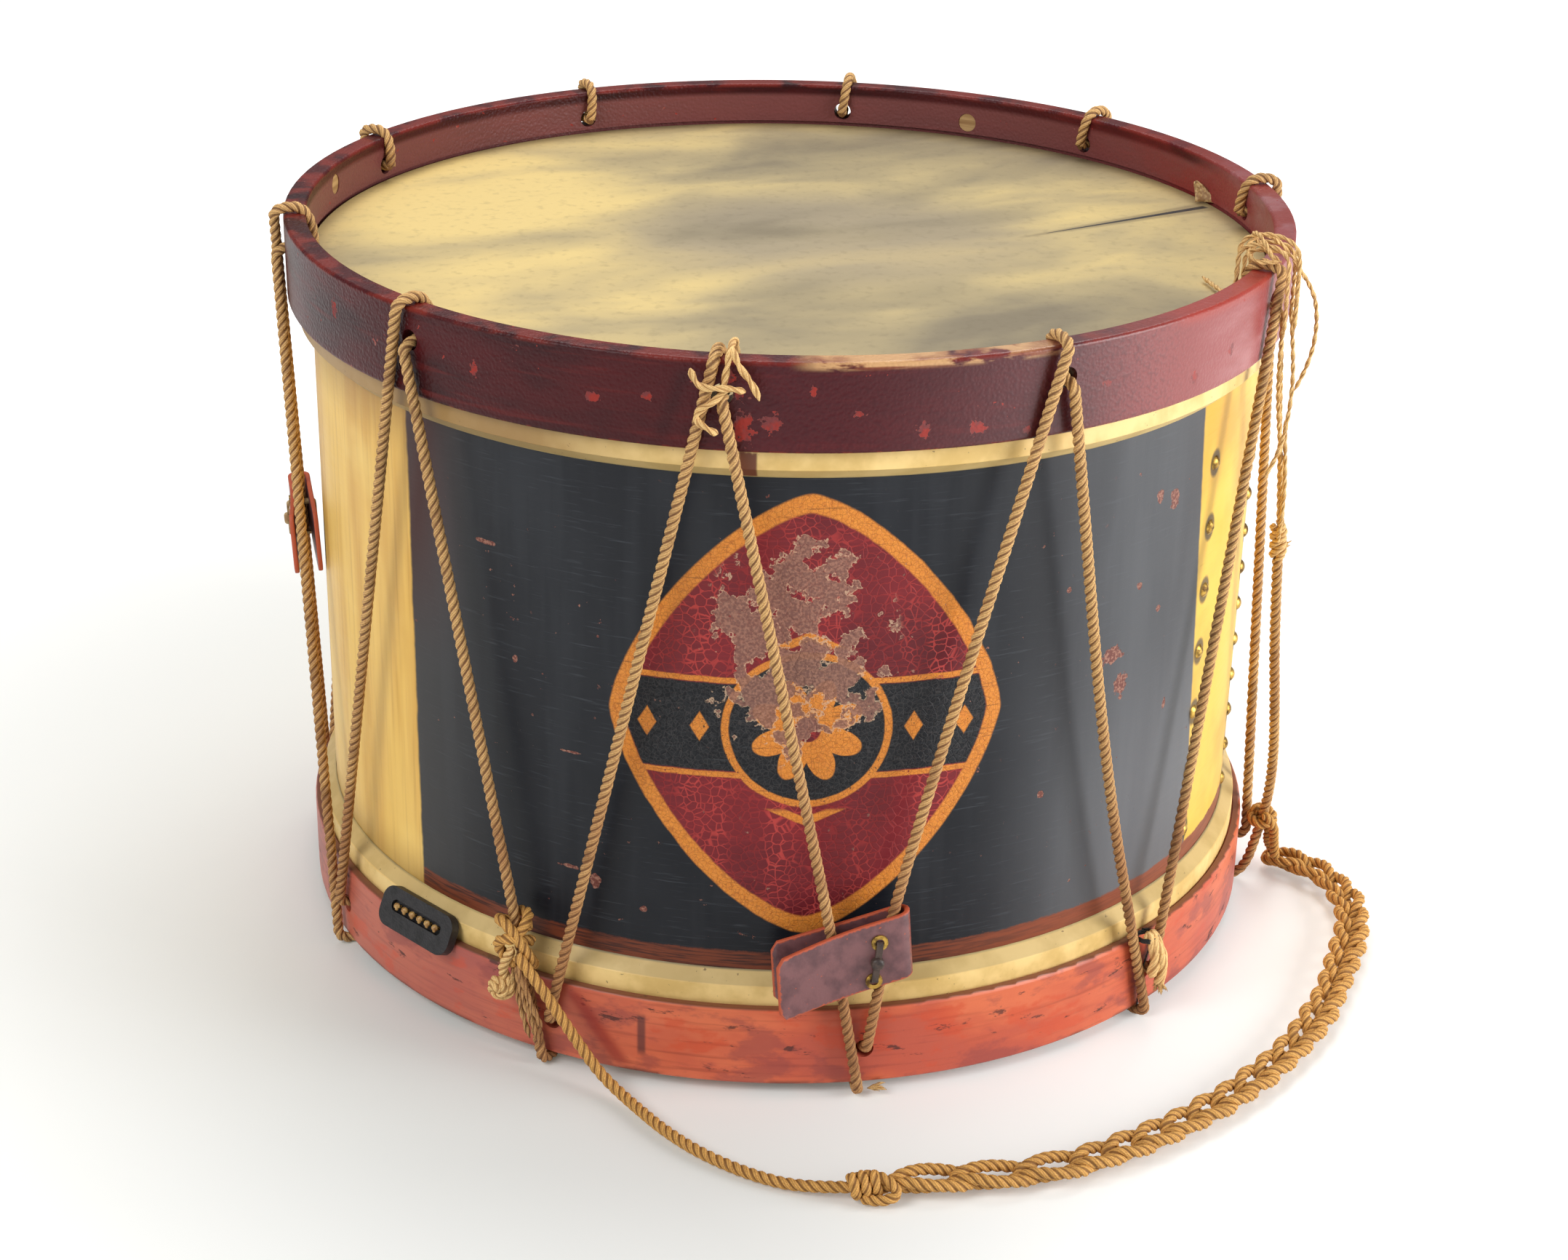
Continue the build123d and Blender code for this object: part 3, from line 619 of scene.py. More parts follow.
# %% Strands, splice and rope of the mend
SPLICE_TOP = at_mm(71.3, 222.5, 197)
SPLICE_END = at_mm(71.9, 223.2, 180)
top_corner = hoop_corners(2, True)
cord_route = [*top_corner[2:], at_mm(65.4, 220.6, 286), at_mm(67, 221, 258), at_mm(69.2, 221.8, 226), SPLICE_TOP]
twin = [point + Vector((0.0015 * math.sin(i * 1.7), -0.0012, 0)) for i, point in enumerate(cord_route)]
cords = rope_mesh(
    "mend_strands_down", [smooth_line(cord_route, LEG_STEP), smooth_line(twin, LEG_STEP)], 2.2 * mm, strands=2, lay=4.5
)
end_hemp.cover(cords)
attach(cords, "drum")
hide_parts("mend_cord")

lower_corners = hoop_corners(2, False)
mend_route = [
    SPLICE_END, at_mm(73.2, 224.6, 140), at_mm(75.2, 226.8, 108), at_mm(78, 228.4, 76), at_mm(80.4, 228.2, 50),
    at_mm(82, 225.6, 29), *lower_corners[:3],
]
mend = rope_mesh("mend_rope_down", [smooth_line(mend_route, LEG_STEP)], ROPE_D, low=0.0001)
leg_hemp.cover(mend)
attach(mend, "drum")
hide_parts("mend_rope")

# %% [markdown]
# A splice tucks the strands of one rope through the other, so it is thick, and wraps of strand cross it.

# %% The splice
def winding(start, end, radius, turns, count, phase=0.0):
    """Points of a strand wound round the line from start to end."""
    axis = end - start
    side = axis.orthogonal().normalized()
    other = axis.normalized().cross(side)
    made = []
    for i in range(count):
        share = i / (count - 1)
        angle = phase + 2 * math.pi * turns * share
        made.append(start + axis * share + side * radius * math.cos(angle) + other * radius * math.sin(angle))
    return made


splice_lines = []
for phase in range(3):
    turned = winding(SPLICE_TOP, SPLICE_END, 2.4 * mm, 1.3, 12, phase * 2 * math.pi / 3)
    splice_lines.append(smooth_line(turned, 0.7 * mm))
splice = rope_mesh("splice_tucks", splice_lines, 3.4 * mm, taper=3 * mm)
end_hemp.cover(splice)
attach(splice, "drum")
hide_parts("mend_splice")


# %% [markdown]
# ## Frayed ends
# Where a rope has been cut or worn through, its yarns spread into a tuft. A tuft here is a handful of thin
# strands that leave one point, fan out by a random angle and curl a little.

# %% Tufts
chance = random.Random(7)


def tuft(start, toward, length, spread, count):
    """Lines of loose yarns that fan out from one point."""
    way = (toward - start).normalized()
    side = way.orthogonal().normalized()
    other = way.cross(side)
    made = []
    for _ in range(count):
        angle = chance.uniform(0, 2 * math.pi)
        lean = chance.uniform(0.2, 1.0) * spread
        out = side * math.cos(angle) + other * math.sin(angle)
        reach = length * chance.uniform(0.6, 1.0)
        middle = start + way * reach * 0.5 + out * lean * 0.55
        tip = start + way * reach + out * lean + Vector((0, 0, -0.12 * reach))
        made.append(smooth_line([start, middle, tip], 1.0 * mm))
    return made


# %% Strands and loose ends at the mend
loop_specs = ((63.0, 12.0, 6.4), (66.2, 6.6, 7.3), (64.4, 15.0, 9.0), (67.3, 9.0, 4.5))
loose = []
for azimuth, rise, proud in loop_specs:
    outer = HOOP_R + (proud + 1) * mm
    inner = BORE_R - (proud + 2) / 2 * mm
    crest = TOP_EDGE + rise * mm
    loose.append(smooth_line([
        at(azimuth + 0.4, outer, TOP_EDGE - 24 * mm), at(azimuth + 0.2, outer, TOP_EDGE - 6 * mm),
        at(azimuth, outer, crest), at(azimuth, inner, crest), at(azimuth - 0.3, inner, TOP_EDGE - 3 * mm),
        at(azimuth - 0.4, inner, TOP_EDGE - 9 * mm),
    ], 0.9 * mm))
knot_loops = [
    [at_mm(61.4, 219, 322), at_mm(62.0, 213, 331), at_mm(64.5, 205, 330), at_mm(66.6, 207, 322), at_mm(65.0, 218, 318)],
    [at_mm(67.5, 220, 318), at_mm(66.0, 212, 330), at_mm(63.5, 204, 326), at_mm(62.2, 209, 318), at_mm(64.0, 219, 320)],
    [at_mm(63.6, 204, 312), at_mm(65.2, 203, 303), at_mm(67.0, 199, 297.5), at_mm(70.5, 190, 296.6), at_mm(76.0, 179, 296.6)],
]
loose += [smooth_line(route, 0.9 * mm) for route in knot_loops]
hanging = [
    [at_mm(66.5, 221, 318), at_mm(69.0, 228, 306), at_mm(70.2, 231, 290), at_mm(69.4, 230, 272), at_mm(67.4, 226, 262)],
    [at_mm(66.4, 222, 300), at_mm(66.4, 226, 275), at_mm(64.3, 228, 256), at_mm(62.6, 227, 240), at_mm(61.0, 224, 232)],
    [at_mm(69.4, 222, 246), at_mm(67.8, 226, 222), at_mm(67.6, 226, 206), at_mm(69.6, 224, 194), at_mm(71.0, 223, 188)],
]
loose += [smooth_line(route, 0.9 * mm) for route in hanging]
loose_strands = rope_mesh("mend_loose_strands", loose, 2.0 * mm, strands=2, lay=5.0, taper=4 * mm)
end_hemp.cover(loose_strands)
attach(loose_strands, "drum")
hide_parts("mend_strands")

# %% [markdown]
# ## The drag rope
# A field drum hangs from a sling, and its drag rope is plaited under it to be let out as a handle. The plait
# is a chain of loops, each pulled through the one before it, which shakes out in a moment. Seen from the
# front each loop makes a V, and along the back runs a line of short bumps.

# %% The lead and the plait's line
LEAD_POINTS = [
    beside(-27.4, 11.0, 54.8), beside(-25.3, 11.4, 46.6), beside(-22.8, 11.4, 34.0), beside(-20.2, 10.6, 19.0),
    beside(-18.0, 11.2, 8.6), beside(-15.4, 15.0, 3.4), beside(-12.8, 23.0, 2.6), beside(-9.9, 34.0, 2.6),
    beside(-6.0, 47.4, 2.6), beside(-1.4, 60.0, 2.6), beside(2.6, 68.6, 3.4), beside(6.6, 72.4, 6.0),
]
DRAG_D = 5 * mm
PLAIT_HEIGHT = 6.5
PLAIT_PLACES = (
    (6.6, 72.4), (13.2, 72.6), (19.2, 78.4), (25.5, 79.2), (32.2, 76.6), (38.6, 74.3), (44.9, 71.4), (51.7, 68.1),
    (58.3, 63.7), (64.8, 59.1), (71.5, 57.7), (77.1, 53.3), (81.6, 42.8), (84.5, 28.1), (85.7, 15.2),
)
plait_points = [beside(azimuth, out, PLAIT_HEIGHT) for azimuth, out in PLAIT_PLACES]

lead_line = smooth_line(LEAD_POINTS, LEG_STEP)
lead = rope_mesh("drag_lead", [lead_line], DRAG_D, low=0.0001)
drag_hemp.cover(lead)
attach(lead, "drum")
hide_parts("drag_rope_lead")
print(f"lead {line_length(lead_line) / mm:.0f} mm")

# %% One stitch after another
STITCH = 15.0 * mm
OPEN_STITCH = 25.0 * mm
OPEN_COUNT = 3
PLAIT_HALF = 6.0 * mm

plait_axis = smooth_line(plait_points, 1.0 * mm)
plait_length = line_length(plait_axis)
stitch_starts = [0.012]
while stitch_starts[-1] < plait_length - 0.018:
    step = OPEN_STITCH if len(stitch_starts) <= OPEN_COUNT else STITCH
    stitch_starts.append(stitch_starts[-1] + step)


def on_plait(reach, side, lift):
    """A point that far along the plait, to its side and above its middle."""
    i = min(max(reach / plait_length, 0.0), 1.0) * (len(plait_axis) - 1)
    low = min(int(i), len(plait_axis) - 2)
    point = plait_axis[low].lerp(plait_axis[low + 1], i - low)
    ahead = (plait_axis[low + 1] - plait_axis[low]).normalized()
    left = Vector((-ahead.y, ahead.x, 0)).normalized()
    return point + left * side + Vector((0, 0, lift))


def stitch_points(start, pitch, following):
    """One loop of the chain: up its right side, round its head and down its left side, then along the back."""
    wide = PLAIT_HALF * chance.uniform(0.92, 1.1)
    head = start + pitch + 0.42 * min(following, STITCH * 1.3)
    return [
        on_plait(start - 0.02 * pitch, -1.2 * mm, -1.6 * mm),
        on_plait(start + 0.24 * pitch, -2.6 * mm, 2.3 * mm),
        on_plait(start + 0.66 * pitch, -wide, 1.7 * mm),
        on_plait(head - 0.1 * pitch, -wide * 0.8, -0.6 * mm),
        on_plait(head, 0, -1.2 * mm),
        on_plait(head - 0.1 * pitch, wide * 0.8, -0.6 * mm),
        on_plait(start + 0.66 * pitch, wide, 1.7 * mm),
        on_plait(start + 0.24 * pitch, 2.6 * mm, 2.3 * mm),
        on_plait(start - 0.02 * pitch, 1.2 * mm, -1.6 * mm),
        on_plait(start + 0.5 * pitch, 0.4 * mm, -3.6 * mm),
    ]


stitches = [on_plait(0, 0, -1.0 * mm)]
for n, start in enumerate(stitch_starts[:-1]):
    pitch = stitch_starts[n + 1] - start
    following = stitch_starts[n + 2] - stitch_starts[n + 1] if n + 2 < len(stitch_starts) else STITCH
    stitches += stitch_points(start, pitch, following)
stitches.append(on_plait(plait_length, 0, -0.5 * mm))
plait = rope_mesh("drag_plait", [smooth_line(stitches, 0.9 * mm)], DRAG_D, low=0.0001)
drag_hemp.cover(plait)
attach(plait, "drum")
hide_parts("drag_rope_plait")
print(f"plait {plait_length / mm:.0f} mm, {len(stitch_starts) - 1} stitches")

# %% [markdown]
# ## Knots
# The drag rope is made fast to a leg at the front left with two half hitches, and its end is coiled into a
# knob. At the right the plait is hitched to the mended leg. A knot is a rope that follows a winding path, so
# each is a route whose points go round what it holds.

# %% Hitches at the front left
falling_9 = hoop_corners(9, True)[3], hoop_corners(9, False)[0]


def on_leg(height):
    """The point of the hitched leg at a height."""
    top, low = falling_9
    return top.lerp(low, (top.z - height) / (top.z - low.z))


def ring_round(middle, way, radius, start, turns, rise, count=12):
    """Points round an axis, from an angle in degrees, for a number of turns."""
    out = Vector((middle.x, middle.y, 0)).normalized()
    across = way.cross(out).normalized()
    out = across.cross(way).normalized()
    made = []
    for i in range(count):
        share = i / (count - 1)
        angle = math.radians(start) + 2 * math.pi * turns * share
        made.append(middle + (out * math.cos(angle) + across * math.sin(angle)) * radius + way * rise * share)
    return made


def near_leg(side, out, height):
    """A point beside the hitched leg: so far to its right and outward, at a height, in millimetres."""
    middle = on_leg(height * mm)
    outward = Vector((middle.x, middle.y, 0)).normalized()
    return middle + Vector((-outward.y, outward.x, 0)) * side * mm + outward * out * mm


hitch_turns = [
    [(4, -5, 60), (-3, -5.6, 61), (-6.2, -0.5, 63), (-5.2, 4.4, 66.4), (-0.4, 6.4, 66.8), (4.2, 6.2, 61.5),
     (6.8, 4.8, 54.5), (6.4, 1.5, 48.5), (3, -3, 45)],
    [(-4, -4.5, 66), (2, -5.4, 67.5), (6, -2, 67.6), (6.2, 3, 64.5), (2, 5, 60)],
    [(5, -3, 56), (5.6, 4, 59.6), (1.8, 8, 61), (-3.4, 8.6, 59.4), (-6, 6.6, 55), (-4.6, 5.4, 50.5), (0, 5, 47)],
]
hitch_lines = [smooth_line([near_leg(*spot) for spot in turn], 0.8 * mm) for turn in hitch_turns]
hitches = rope_mesh("drag_hitch_turns", hitch_lines, 4.8 * mm, taper=2 * mm)
drag_hemp.cover(hitches)
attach(hitches, "drum")
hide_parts("drag_hitches")

# %% The coiled end of the drag rope
knob = beside(-29.6, 10.0, 36.8)
knob_out = Vector((knob.x, knob.y, 0)).normalized()
knob_side = Vector((-knob_out.y, knob_out.x, 0))


def knob_place(angle, radius, out):
    a = math.radians(angle)
    return knob + (knob_side * math.cos(a) + Vector((0, 0, 1)) * math.sin(a)) * radius * mm + knob_out * out * mm


coil = [beside(-28.0, 10.0, 57.2), beside(-29.2, 11.2, 48.0)]
coil += [knob_place(80 - 52 * i, 5.2 - 0.24 * i, -1.0 + 0.34 * i) for i in range(17)]
tail = rope_mesh("drag_tail_coil", [smooth_line(coil, 0.9 * mm)], 4.4 * mm, taper=3 * mm)
end_hemp.cover(tail)
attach(tail, "drum")
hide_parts("drag_rope_tail")

# %% The knot at the plait's start and the tie at its end
def knot_turns(middle, way, radius, turns, width, count=26):
    """A few turns wound close together round a rope that lies along `way`."""
    start = middle - way * width / 2
    return winding(start, middle + way * width / 2, radius, turns, count)


start_way = (plait_axis[12] - plait_axis[0]).normalized()
start_knot = [
    knot_turns(on_plait(0.003, 0, 0.2 * mm), start_way, 3.7 * mm, 2.6, 11 * mm),
    [on_plait(-0.001, 5 * mm, -3 * mm), on_plait(0.004, 5.5 * mm, 2 * mm), on_plait(0.012, -3 * mm, 4 * mm),
     on_plait(0.016, -7 * mm, -1 * mm), on_plait(0.007, -7 * mm, -3.6 * mm), on_plait(0.001, -3 * mm, -3.4 * mm)],
]
first_knot = rope_mesh("plait_knot", [smooth_line(route, 0.9 * mm) for route in start_knot], 4.6 * mm, taper=2 * mm, low=0.0001)
drag_hemp.cover(first_knot)
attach(first_knot, "drum")

tie_axis_top, tie_axis_low = at_mm(80.4, 228.2, 50), at_mm(82, 225.6, 29)
tie_way = (tie_axis_top - tie_axis_low).normalized()
tied = tie_axis_low + tie_way * 5 * mm
tie_routes = [
    [*ring_round(tied, tie_way, 5.2 * mm, 90, 1.2, 3 * mm), Vector((233.5, -20.5, 18)) * mm, plait_points[-1] + Vector((2, -1.5, 4)) * mm],
    [tied + Vector((0, 5.2, 2)) * mm, tied + Vector((5, 2, -4)) * mm, Vector((229, -22, 16)) * mm, Vector((234, -15, 8)) * mm],
    [tied + Vector((-1, -6, 6)) * mm, tied + Vector((5, -6, 1)) * mm, Vector((231, -30, 20)) * mm, Vector((233, -28, 10)) * mm],
]
tie = rope_mesh("plait_tie_turns", [smooth_line(route, 0.9 * mm) for route in tie_routes], 4.6 * mm, taper=2 * mm, low=0.0001)
drag_hemp.cover(tie)
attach(tie, "drum")
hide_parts("plait_tie")

line_length(lead_line)
line_length(plait_axis)

# %% [markdown]
# ## Small repairs on the rope
# At the top in front, a short strand has been knotted round the rope as a repair, and its ends stick out.
# At the lower right a black thread whips two legs together round a cut end, and a frayed end shows under the
# lower hoop in front.

# %% Repair strands at the top in front
repair = [
    [at_mm(-9.1, 221.0, 312.5), at_mm(-8.7, 222.5, 308.2), at_mm(-7.6, 224.5, 306.2), at_mm(-6.2, 225.6, 307.2),
     at_mm(-5.0, 224.6, 306.8), at_mm(-3.8, 222.0, 305.0)],
    [at_mm(-5.4, 214.0, 319.8), at_mm(-5.1, 219.5, 319.4), at_mm(-4.5, 220.6, 314.0), at_mm(-3.5, 221.4, 309.6),
     at_mm(-2.7, 221.0, 304.0), at_mm(-2.5, 221.4, 301.5)],
    [at_mm(-5.4, 221.0, 306.0), at_mm(-6.8, 224.4, 300.6), at_mm(-8.3, 223.4, 297.2), at_mm(-8.5, 223.2, 293.4),
     at_mm(-7.0, 225.0, 290.4), at_mm(-6.4, 221.4, 288.0)],
    [at_mm(-6.0, 220.4, 305.0), at_mm(-5.6, 220.4, 313.0), at_mm(-5.4, 219.8, 319.6), at_mm(-5.3, 210.0, 320.6),
     at_mm(-5.2, 204.0, 318.0), at_mm(-5.2, 203.6, 311.0)],
]
repair_lines = [smooth_line(route, 0.9 * mm) for route in repair]
repairs = rope_mesh("top_repair", repair_lines, 2.9 * mm, strands=2, lay=5.0, taper=2 * mm)
end_hemp.cover(repairs)
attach(repairs, "drum")

# %% Frayed ends and the black whipping
whip_middle = at_mm(45.2, 221.0, 42.4)
end_routes = [
    [at_mm(44.6, 222.4, 46.0), at_mm(45.2, 224.0, 40.0), at_mm(45.8, 225.4, 31.0), at_mm(45.4, 223.6, 23.0)],
    [at_mm(45.2, 222.6, 46.0), at_mm(46.2, 224.4, 38.0), at_mm(47.2, 224.8, 29.0), at_mm(47.4, 223.0, 16.0)],
    [at_mm(45.0, 223.6, 44.0), at_mm(45.8, 226.0, 36.0), at_mm(46.6, 226.6, 28.0), at_mm(46.6, 224.4, 18.0)],
]
cut_end = rope_mesh("whipped_end", [smooth_line(r, 0.9 * mm) for r in end_routes], 5.0 * mm, lay=5.0, taper=2 * mm)
fray = tuft(at_mm(46.9, 223.6, 20), at_mm(47.4, 223.2, 12), 7 * mm, 4.0 * mm, 24)
fray += tuft(at_mm(10.2, 218.4, 3.2), at_mm(13.5, 219, 4.6), 8 * mm, 2.6 * mm, 26)
fray += tuft(at_mm(71.4, 223, 184), at_mm(73.5, 227, 186), 9 * mm, 2.6 * mm, 16)
fray += tuft(near_leg(-2, 5, 46), near_leg(-4, 7, 30), 9 * mm, 2.6 * mm, 10)
loose_ends = [
    [(-1, 4, 50), (0.5, 7, 36), (3.5, 6, 20)], [(1, 6, 48), (4.5, 7, 34), (7.0, 5.4, 22)],
    [(-3, 3.4, 46), (-2.4, 6, 32), (0.5, 6.2, 16)], [(2, 4, 44), (2.6, 6.2, 28), (5.0, 6, 14)],
]
loose_lines = [smooth_line([near_leg(*spot) for spot in route], 0.9 * mm) for route in loose_ends]
unlaid = rope_mesh("unlaid_strands", loose_lines, 2.6 * mm, strands=2, lay=5.0, taper=3 * mm)
leg_hemp.cover(unlaid)
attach(unlaid, "drum")
frays = rope_mesh("frayed_yarns", fray, 0.9 * mm, strands=2, lay=6.0, taper=2 * mm, low=0.0001)
for piece in (cut_end, frays):
    end_hemp.cover(piece)
    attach(piece, "drum")

thread = Finish("black_thread")
thread.dress(colour(24, 22, 22), roughness=0.6, relief=thread.noise(0.4), depth=0.1 * mm)
whipping = winding(whip_middle - Vector((0, 0, 0.0012)), whip_middle + Vector((0, 0, 0.0012)), 4.6 * mm, 3.2, 40)
whip_tail = [at_mm(44.9, 224.0, 41.0), at_mm(45.4, 220.0, 30.0), at_mm(45.8, 217.0, 18.0), at_mm(45.8, 216.8, 6.0)]
whip_lines = [smooth_line(whipping, 0.7 * mm), smooth_line(whip_tail, 0.9 * mm)]
whip = rope_mesh("black_whipping", whip_lines, 0.9 * mm, strands=2, lay=6.0)
thread.cover(whip)
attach(whip, "drum")

# %% [markdown]
# ## The painted shell
# The shell is one thin maple board bent round and tacked. Its varnish has turned amber, with dark streaks down
# the grain. The front has a blue-black panel with a brown-red line along its foot. In the middle is a device
# in crimson, gold and black: a tall cartouche with a band, small diamonds and a rosette. It is drawn with
# distances in millimetres, so that every border has an even width. Old paint crazes and flakes, and
# the crimson, which was laid on thickest, has done so most.

# %% Shell
shell = Finish("painted_shell")
turn, radius = shell.round_the_drum()
height = shell.z
around = turn * (math.pi / 180 * 206)
sheet = shell.vector(around, height)
grain = shell.noise(2.2, detail=4.0, stretch=(1, 1, 0.03))
streak = shell.noise(16.0, detail=3.0, stretch=(1, 1, 0.1))
cloud = shell.noise(45.0, detail=3.0)
fine = shell.noise(1.1, detail=3.0)
brushed = shell.noise(1.0, detail=4.0, stretch=(0.06, 0.06, 1))

amber = shell.mix(streak.rise(0.35, 0.7), colour(238, 196, 104), colour(214, 164, 76))
amber = shell.mix(grain.rise(0.5, 0.75) * 0.35, amber, colour(176, 124, 56))
amber = shell.mix(cloud.rise(0.5, 0.75) * 0.4, amber, colour(248, 216, 128))
ends = height.within(60, 256, 14)
amber = shell.mix((1 - ends) * 0.55, amber, colour(122, 84, 38))
yellow = shell.mix(cloud.rise(0.4, 0.66), colour(230, 188, 74), colour(214, 166, 62))
yellow = shell.mix(brushed.rise(0.6, 0.8) * 0.4, yellow, colour(190, 150, 60))
amber = shell.mix(turn.within(54, 80, 2), amber, yellow)

# %% Panel and line
wander = (shell.noise(9.0, detail=2.0) - 0.5) * 1.2
ragged = (fine - 0.5) * 1.2
lean = (height - 150) * 0.022
panel = (turn + wander * 0.4).rise(-46.8, -46.3) * (turn + lean - wander * 0.3).rise(57.4, 56.9)
black = shell.mix(cloud.rise(0.35, 0.7), colour(10, 14, 23), colour(22, 25, 32))
black = shell.mix(brushed.rise(0.56, 0.76) * 0.5, black, colour(66, 70, 76))
black = shell.mix(streak.rise(0.45, 0.7) * 0.5, black, colour(38, 41, 47))
# Painted reflection: the panel turns lighter grey toward the right, most toward its foot, and a little toward the left
# edge, as a painted sheen.
black = shell.mix(turn.rise(20, 46) * (0.42 + height.rise(190, 90) * 0.38 + streak.rise(0.3, 0.7) * 0.1), black, colour(104, 105, 109))
black = shell.mix(turn.rise(-30, -46) * 0.4, black, colour(74, 72, 70))
maroon = turn.rise(-36, -46) * height.rise(150, 240)
black = shell.mix(maroon * 0.7, black, colour(70, 26, 22))
stripe = (height + wander * 2.0 + ragged).within(48.5, 61, 0.6)
brown_line = shell.mix(brushed.rise(0.42, 0.66), colour(116, 56, 34), colour(62, 32, 26))
brown_line = shell.mix(turn.rise(10, 40) * 0.6, brown_line, colour(150, 78, 52))
flake_map = shell.noise(3.2, detail=4.0)
old_flakes = flake_map.rise(0.69, 0.71) * shell.noise(30.0).rise(0.5, 0.62)
CHIPS = (
    (49.3, 232.0, 2.8, 4.2), (46.6, 236.5, 2.0, 2.6), (40.3, 173.4, 5.0, 3.6), (41.9, 158.7, 3.4, 5.0),
    (38.4, 165.0, 1.6, 2.4), (-34.1, 222.6, 5.0, 0.9), (-20.8, 84.8, 2.6, 2.8), (-24.0, 89.0, 3.6, 0.8),
    (-15.0, 76.0, 1.2, 1.2), (44.0, 200.0, 1.4, 1.4), (50.6, 140.0, 1.2, 2.6), (31.0, 120.0, 1.4, 1.6),
    (-30.6, 176.0, 1.2, 1.4), (-23.6, 141.0, 4.4, 0.5), (33.0, 208.0, 1.0, 1.2), (47.8, 186.0, 1.6, 1.2),
)
old_flakes = old_flakes.most(shell.spots(turn, height, CHIPS, (flake_map - 0.5) * 2.4))
bare_flake = shell.mix(fine.rise(0.42, 0.66), colour(104, 54, 46), colour(158, 112, 94))
black = shell.mix(old_flakes, black, bare_flake)
paintwork = shell.mix(stripe, black, brown_line)
body_colour = shell.mix(panel, amber, paintwork)
body_colour = shell.mix(stripe * turn.within(54, 100, 3), body_colour, brown_line)

# %% The device
MIDDLE_AZ = 3.0
MIDDLE_Z = 165.0
across = (turn - MIDDLE_AZ) * (math.pi / 180 * 206) + wander * 0.8
upward = height - MIDDLE_Z + wander * 0.8
HALF_W = 78.0
HALF_H = 94.0
FULLNESS = 1.45
rim = (abs(across) / HALF_W) ** FULLNESS + (abs(upward) / HALF_H) ** FULLNESS
inside = rim.rise(0.905, 0.885)
band = abs(upward + 4).rise(19.5, 18.5) * inside
band_line = abs(abs(upward + 4) - 20.5).rise(1.5, 0.9) * inside
repeat = abs((across / 21 + 0.5).part() - 0.5) * 21
diamonds = (repeat / 4.2 + abs(upward + 4) / 7.0).rise(1.0, 0.8) * band
spread_r = (across * across + (upward + 4) * (upward + 4)) ** 0.5
angle = across.maths("ARCTAN2", across, upward + 4)
petals = (angle * 4).sine()
rosette = (spread_r - abs(petals) * 9.0).rise(14.4, 13.4)
roundel = spread_r.rise(32.5, 31.5)
roundel_line = abs(spread_r - 32).rise(1.8, 1.1)
eye = spread_r.rise(5.6, 4.8)
chevron = abs(upward + 4).rise(34, 36) * abs(abs(upward + 4) - 40 + abs(across) * 0.45).rise(2.2, 1.5) * inside

craze_sheet = shell.vector(around + wander * 1.5, height + grain * 2)
craze = shell.cells(3.4, "DISTANCE_TO_EDGE", vector=craze_sheet).rise(0.085, 0.02)
fine_craze = shell.cells(1.8, "DISTANCE_TO_EDGE", vector=craze_sheet).rise(0.08, 0.02)
crimson = shell.mix(cloud.rise(0.35, 0.7), colour(120, 28, 36), colour(88, 18, 28))
crimson = shell.mix(brushed.rise(0.5, 0.75) * 0.4, crimson, colour(160, 48, 50))
crimson = shell.mix(craze * (0.2 + 0.5 * streak.rise(0.4, 0.62)), crimson, colour(200, 74, 68))
gold = shell.mix(fine.rise(0.35, 0.75) * 0.7, colour(224, 142, 56), colour(196, 110, 40))
gold = shell.mix(fine_craze * 0.4, gold, colour(130, 66, 30))
gold = shell.mix(brushed.rise(0.6, 0.72) * 0.6, gold, colour(96, 56, 30))
ground = shell.mix(fine_craze * 0.45, colour(18, 20, 25), colour(70, 66, 66))
ground = shell.mix(brushed.rise(0.58, 0.76) * 0.5, ground, colour(70, 74, 78))

device = shell.mix(inside, gold, crimson)
device = shell.mix(chevron, device, gold)
device = shell.mix(band, device, ground)
device = shell.mix((band_line + diamonds).least(1.0) * fine.rise(0.28, 0.4), device, gold)
device = shell.mix(roundel, device, ground)
device = shell.mix(roundel_line * fine.rise(0.28, 0.4), device, gold)
device = shell.mix(rosette * fine.rise(0.22, 0.34), device, gold)
device = shell.mix(eye, device, crimson)
device_mask = rim.rise(1.02, 1.0)
worn_place = shell.noise(26.0, detail=2.0)
near_middle = ((across + 4) * (across + 4) / 1500 + (upward - 30) * (upward - 30) / 2400).rise(1.3, 0.2)
wear_map = shell.noise(11.0, detail=4.0, roughness=0.55) + near_middle * 0.17
in_reach = near_middle.rise(0.04, 0.2)
flaked = wear_map.rise(0.632, 0.640) * in_reach
few_flakes = flake_map.rise(0.69, 0.705) * worn_place.rise(0.46, 0.56)
bare = shell.mix(fine.rise(0.4, 0.65), colour(122, 84, 74), colour(160, 116, 98))
flaked = flaked.most(few_flakes)
device = shell.mix(flaked * 0.9, device, bare)
flake_rim = wear_map.within(0.612, 0.632, 0.006) * in_reach
device = shell.mix(flake_rim * fine.rise(0.35, 0.5) * 0.75, device, colour(206, 172, 142))
body_colour = shell.mix(device_mask * panel * fine.rise(0.16, 0.3), body_colour, device)

# %% Tack heads leave a dark ring on the wood
TACKS = [(58.5, 68.0 + 28.3 * i) for i in range(7)] + [(78.0, 60.0 + 17.4 * i) for i in range(12)]
ring = None
for tack_turn, tack_height in TACKS:
    gap_x = (turn - tack_turn) * (math.pi / 180 * 206)
    gap_y = height - tack_height
    spot = (gap_x * gap_x + gap_y * gap_y * 0.6).rise(30, 14)
    ring = spot if ring is None else ring.most(spot)
body_colour = shell.mix(ring * 0.85, body_colour, colour(44, 32, 24))

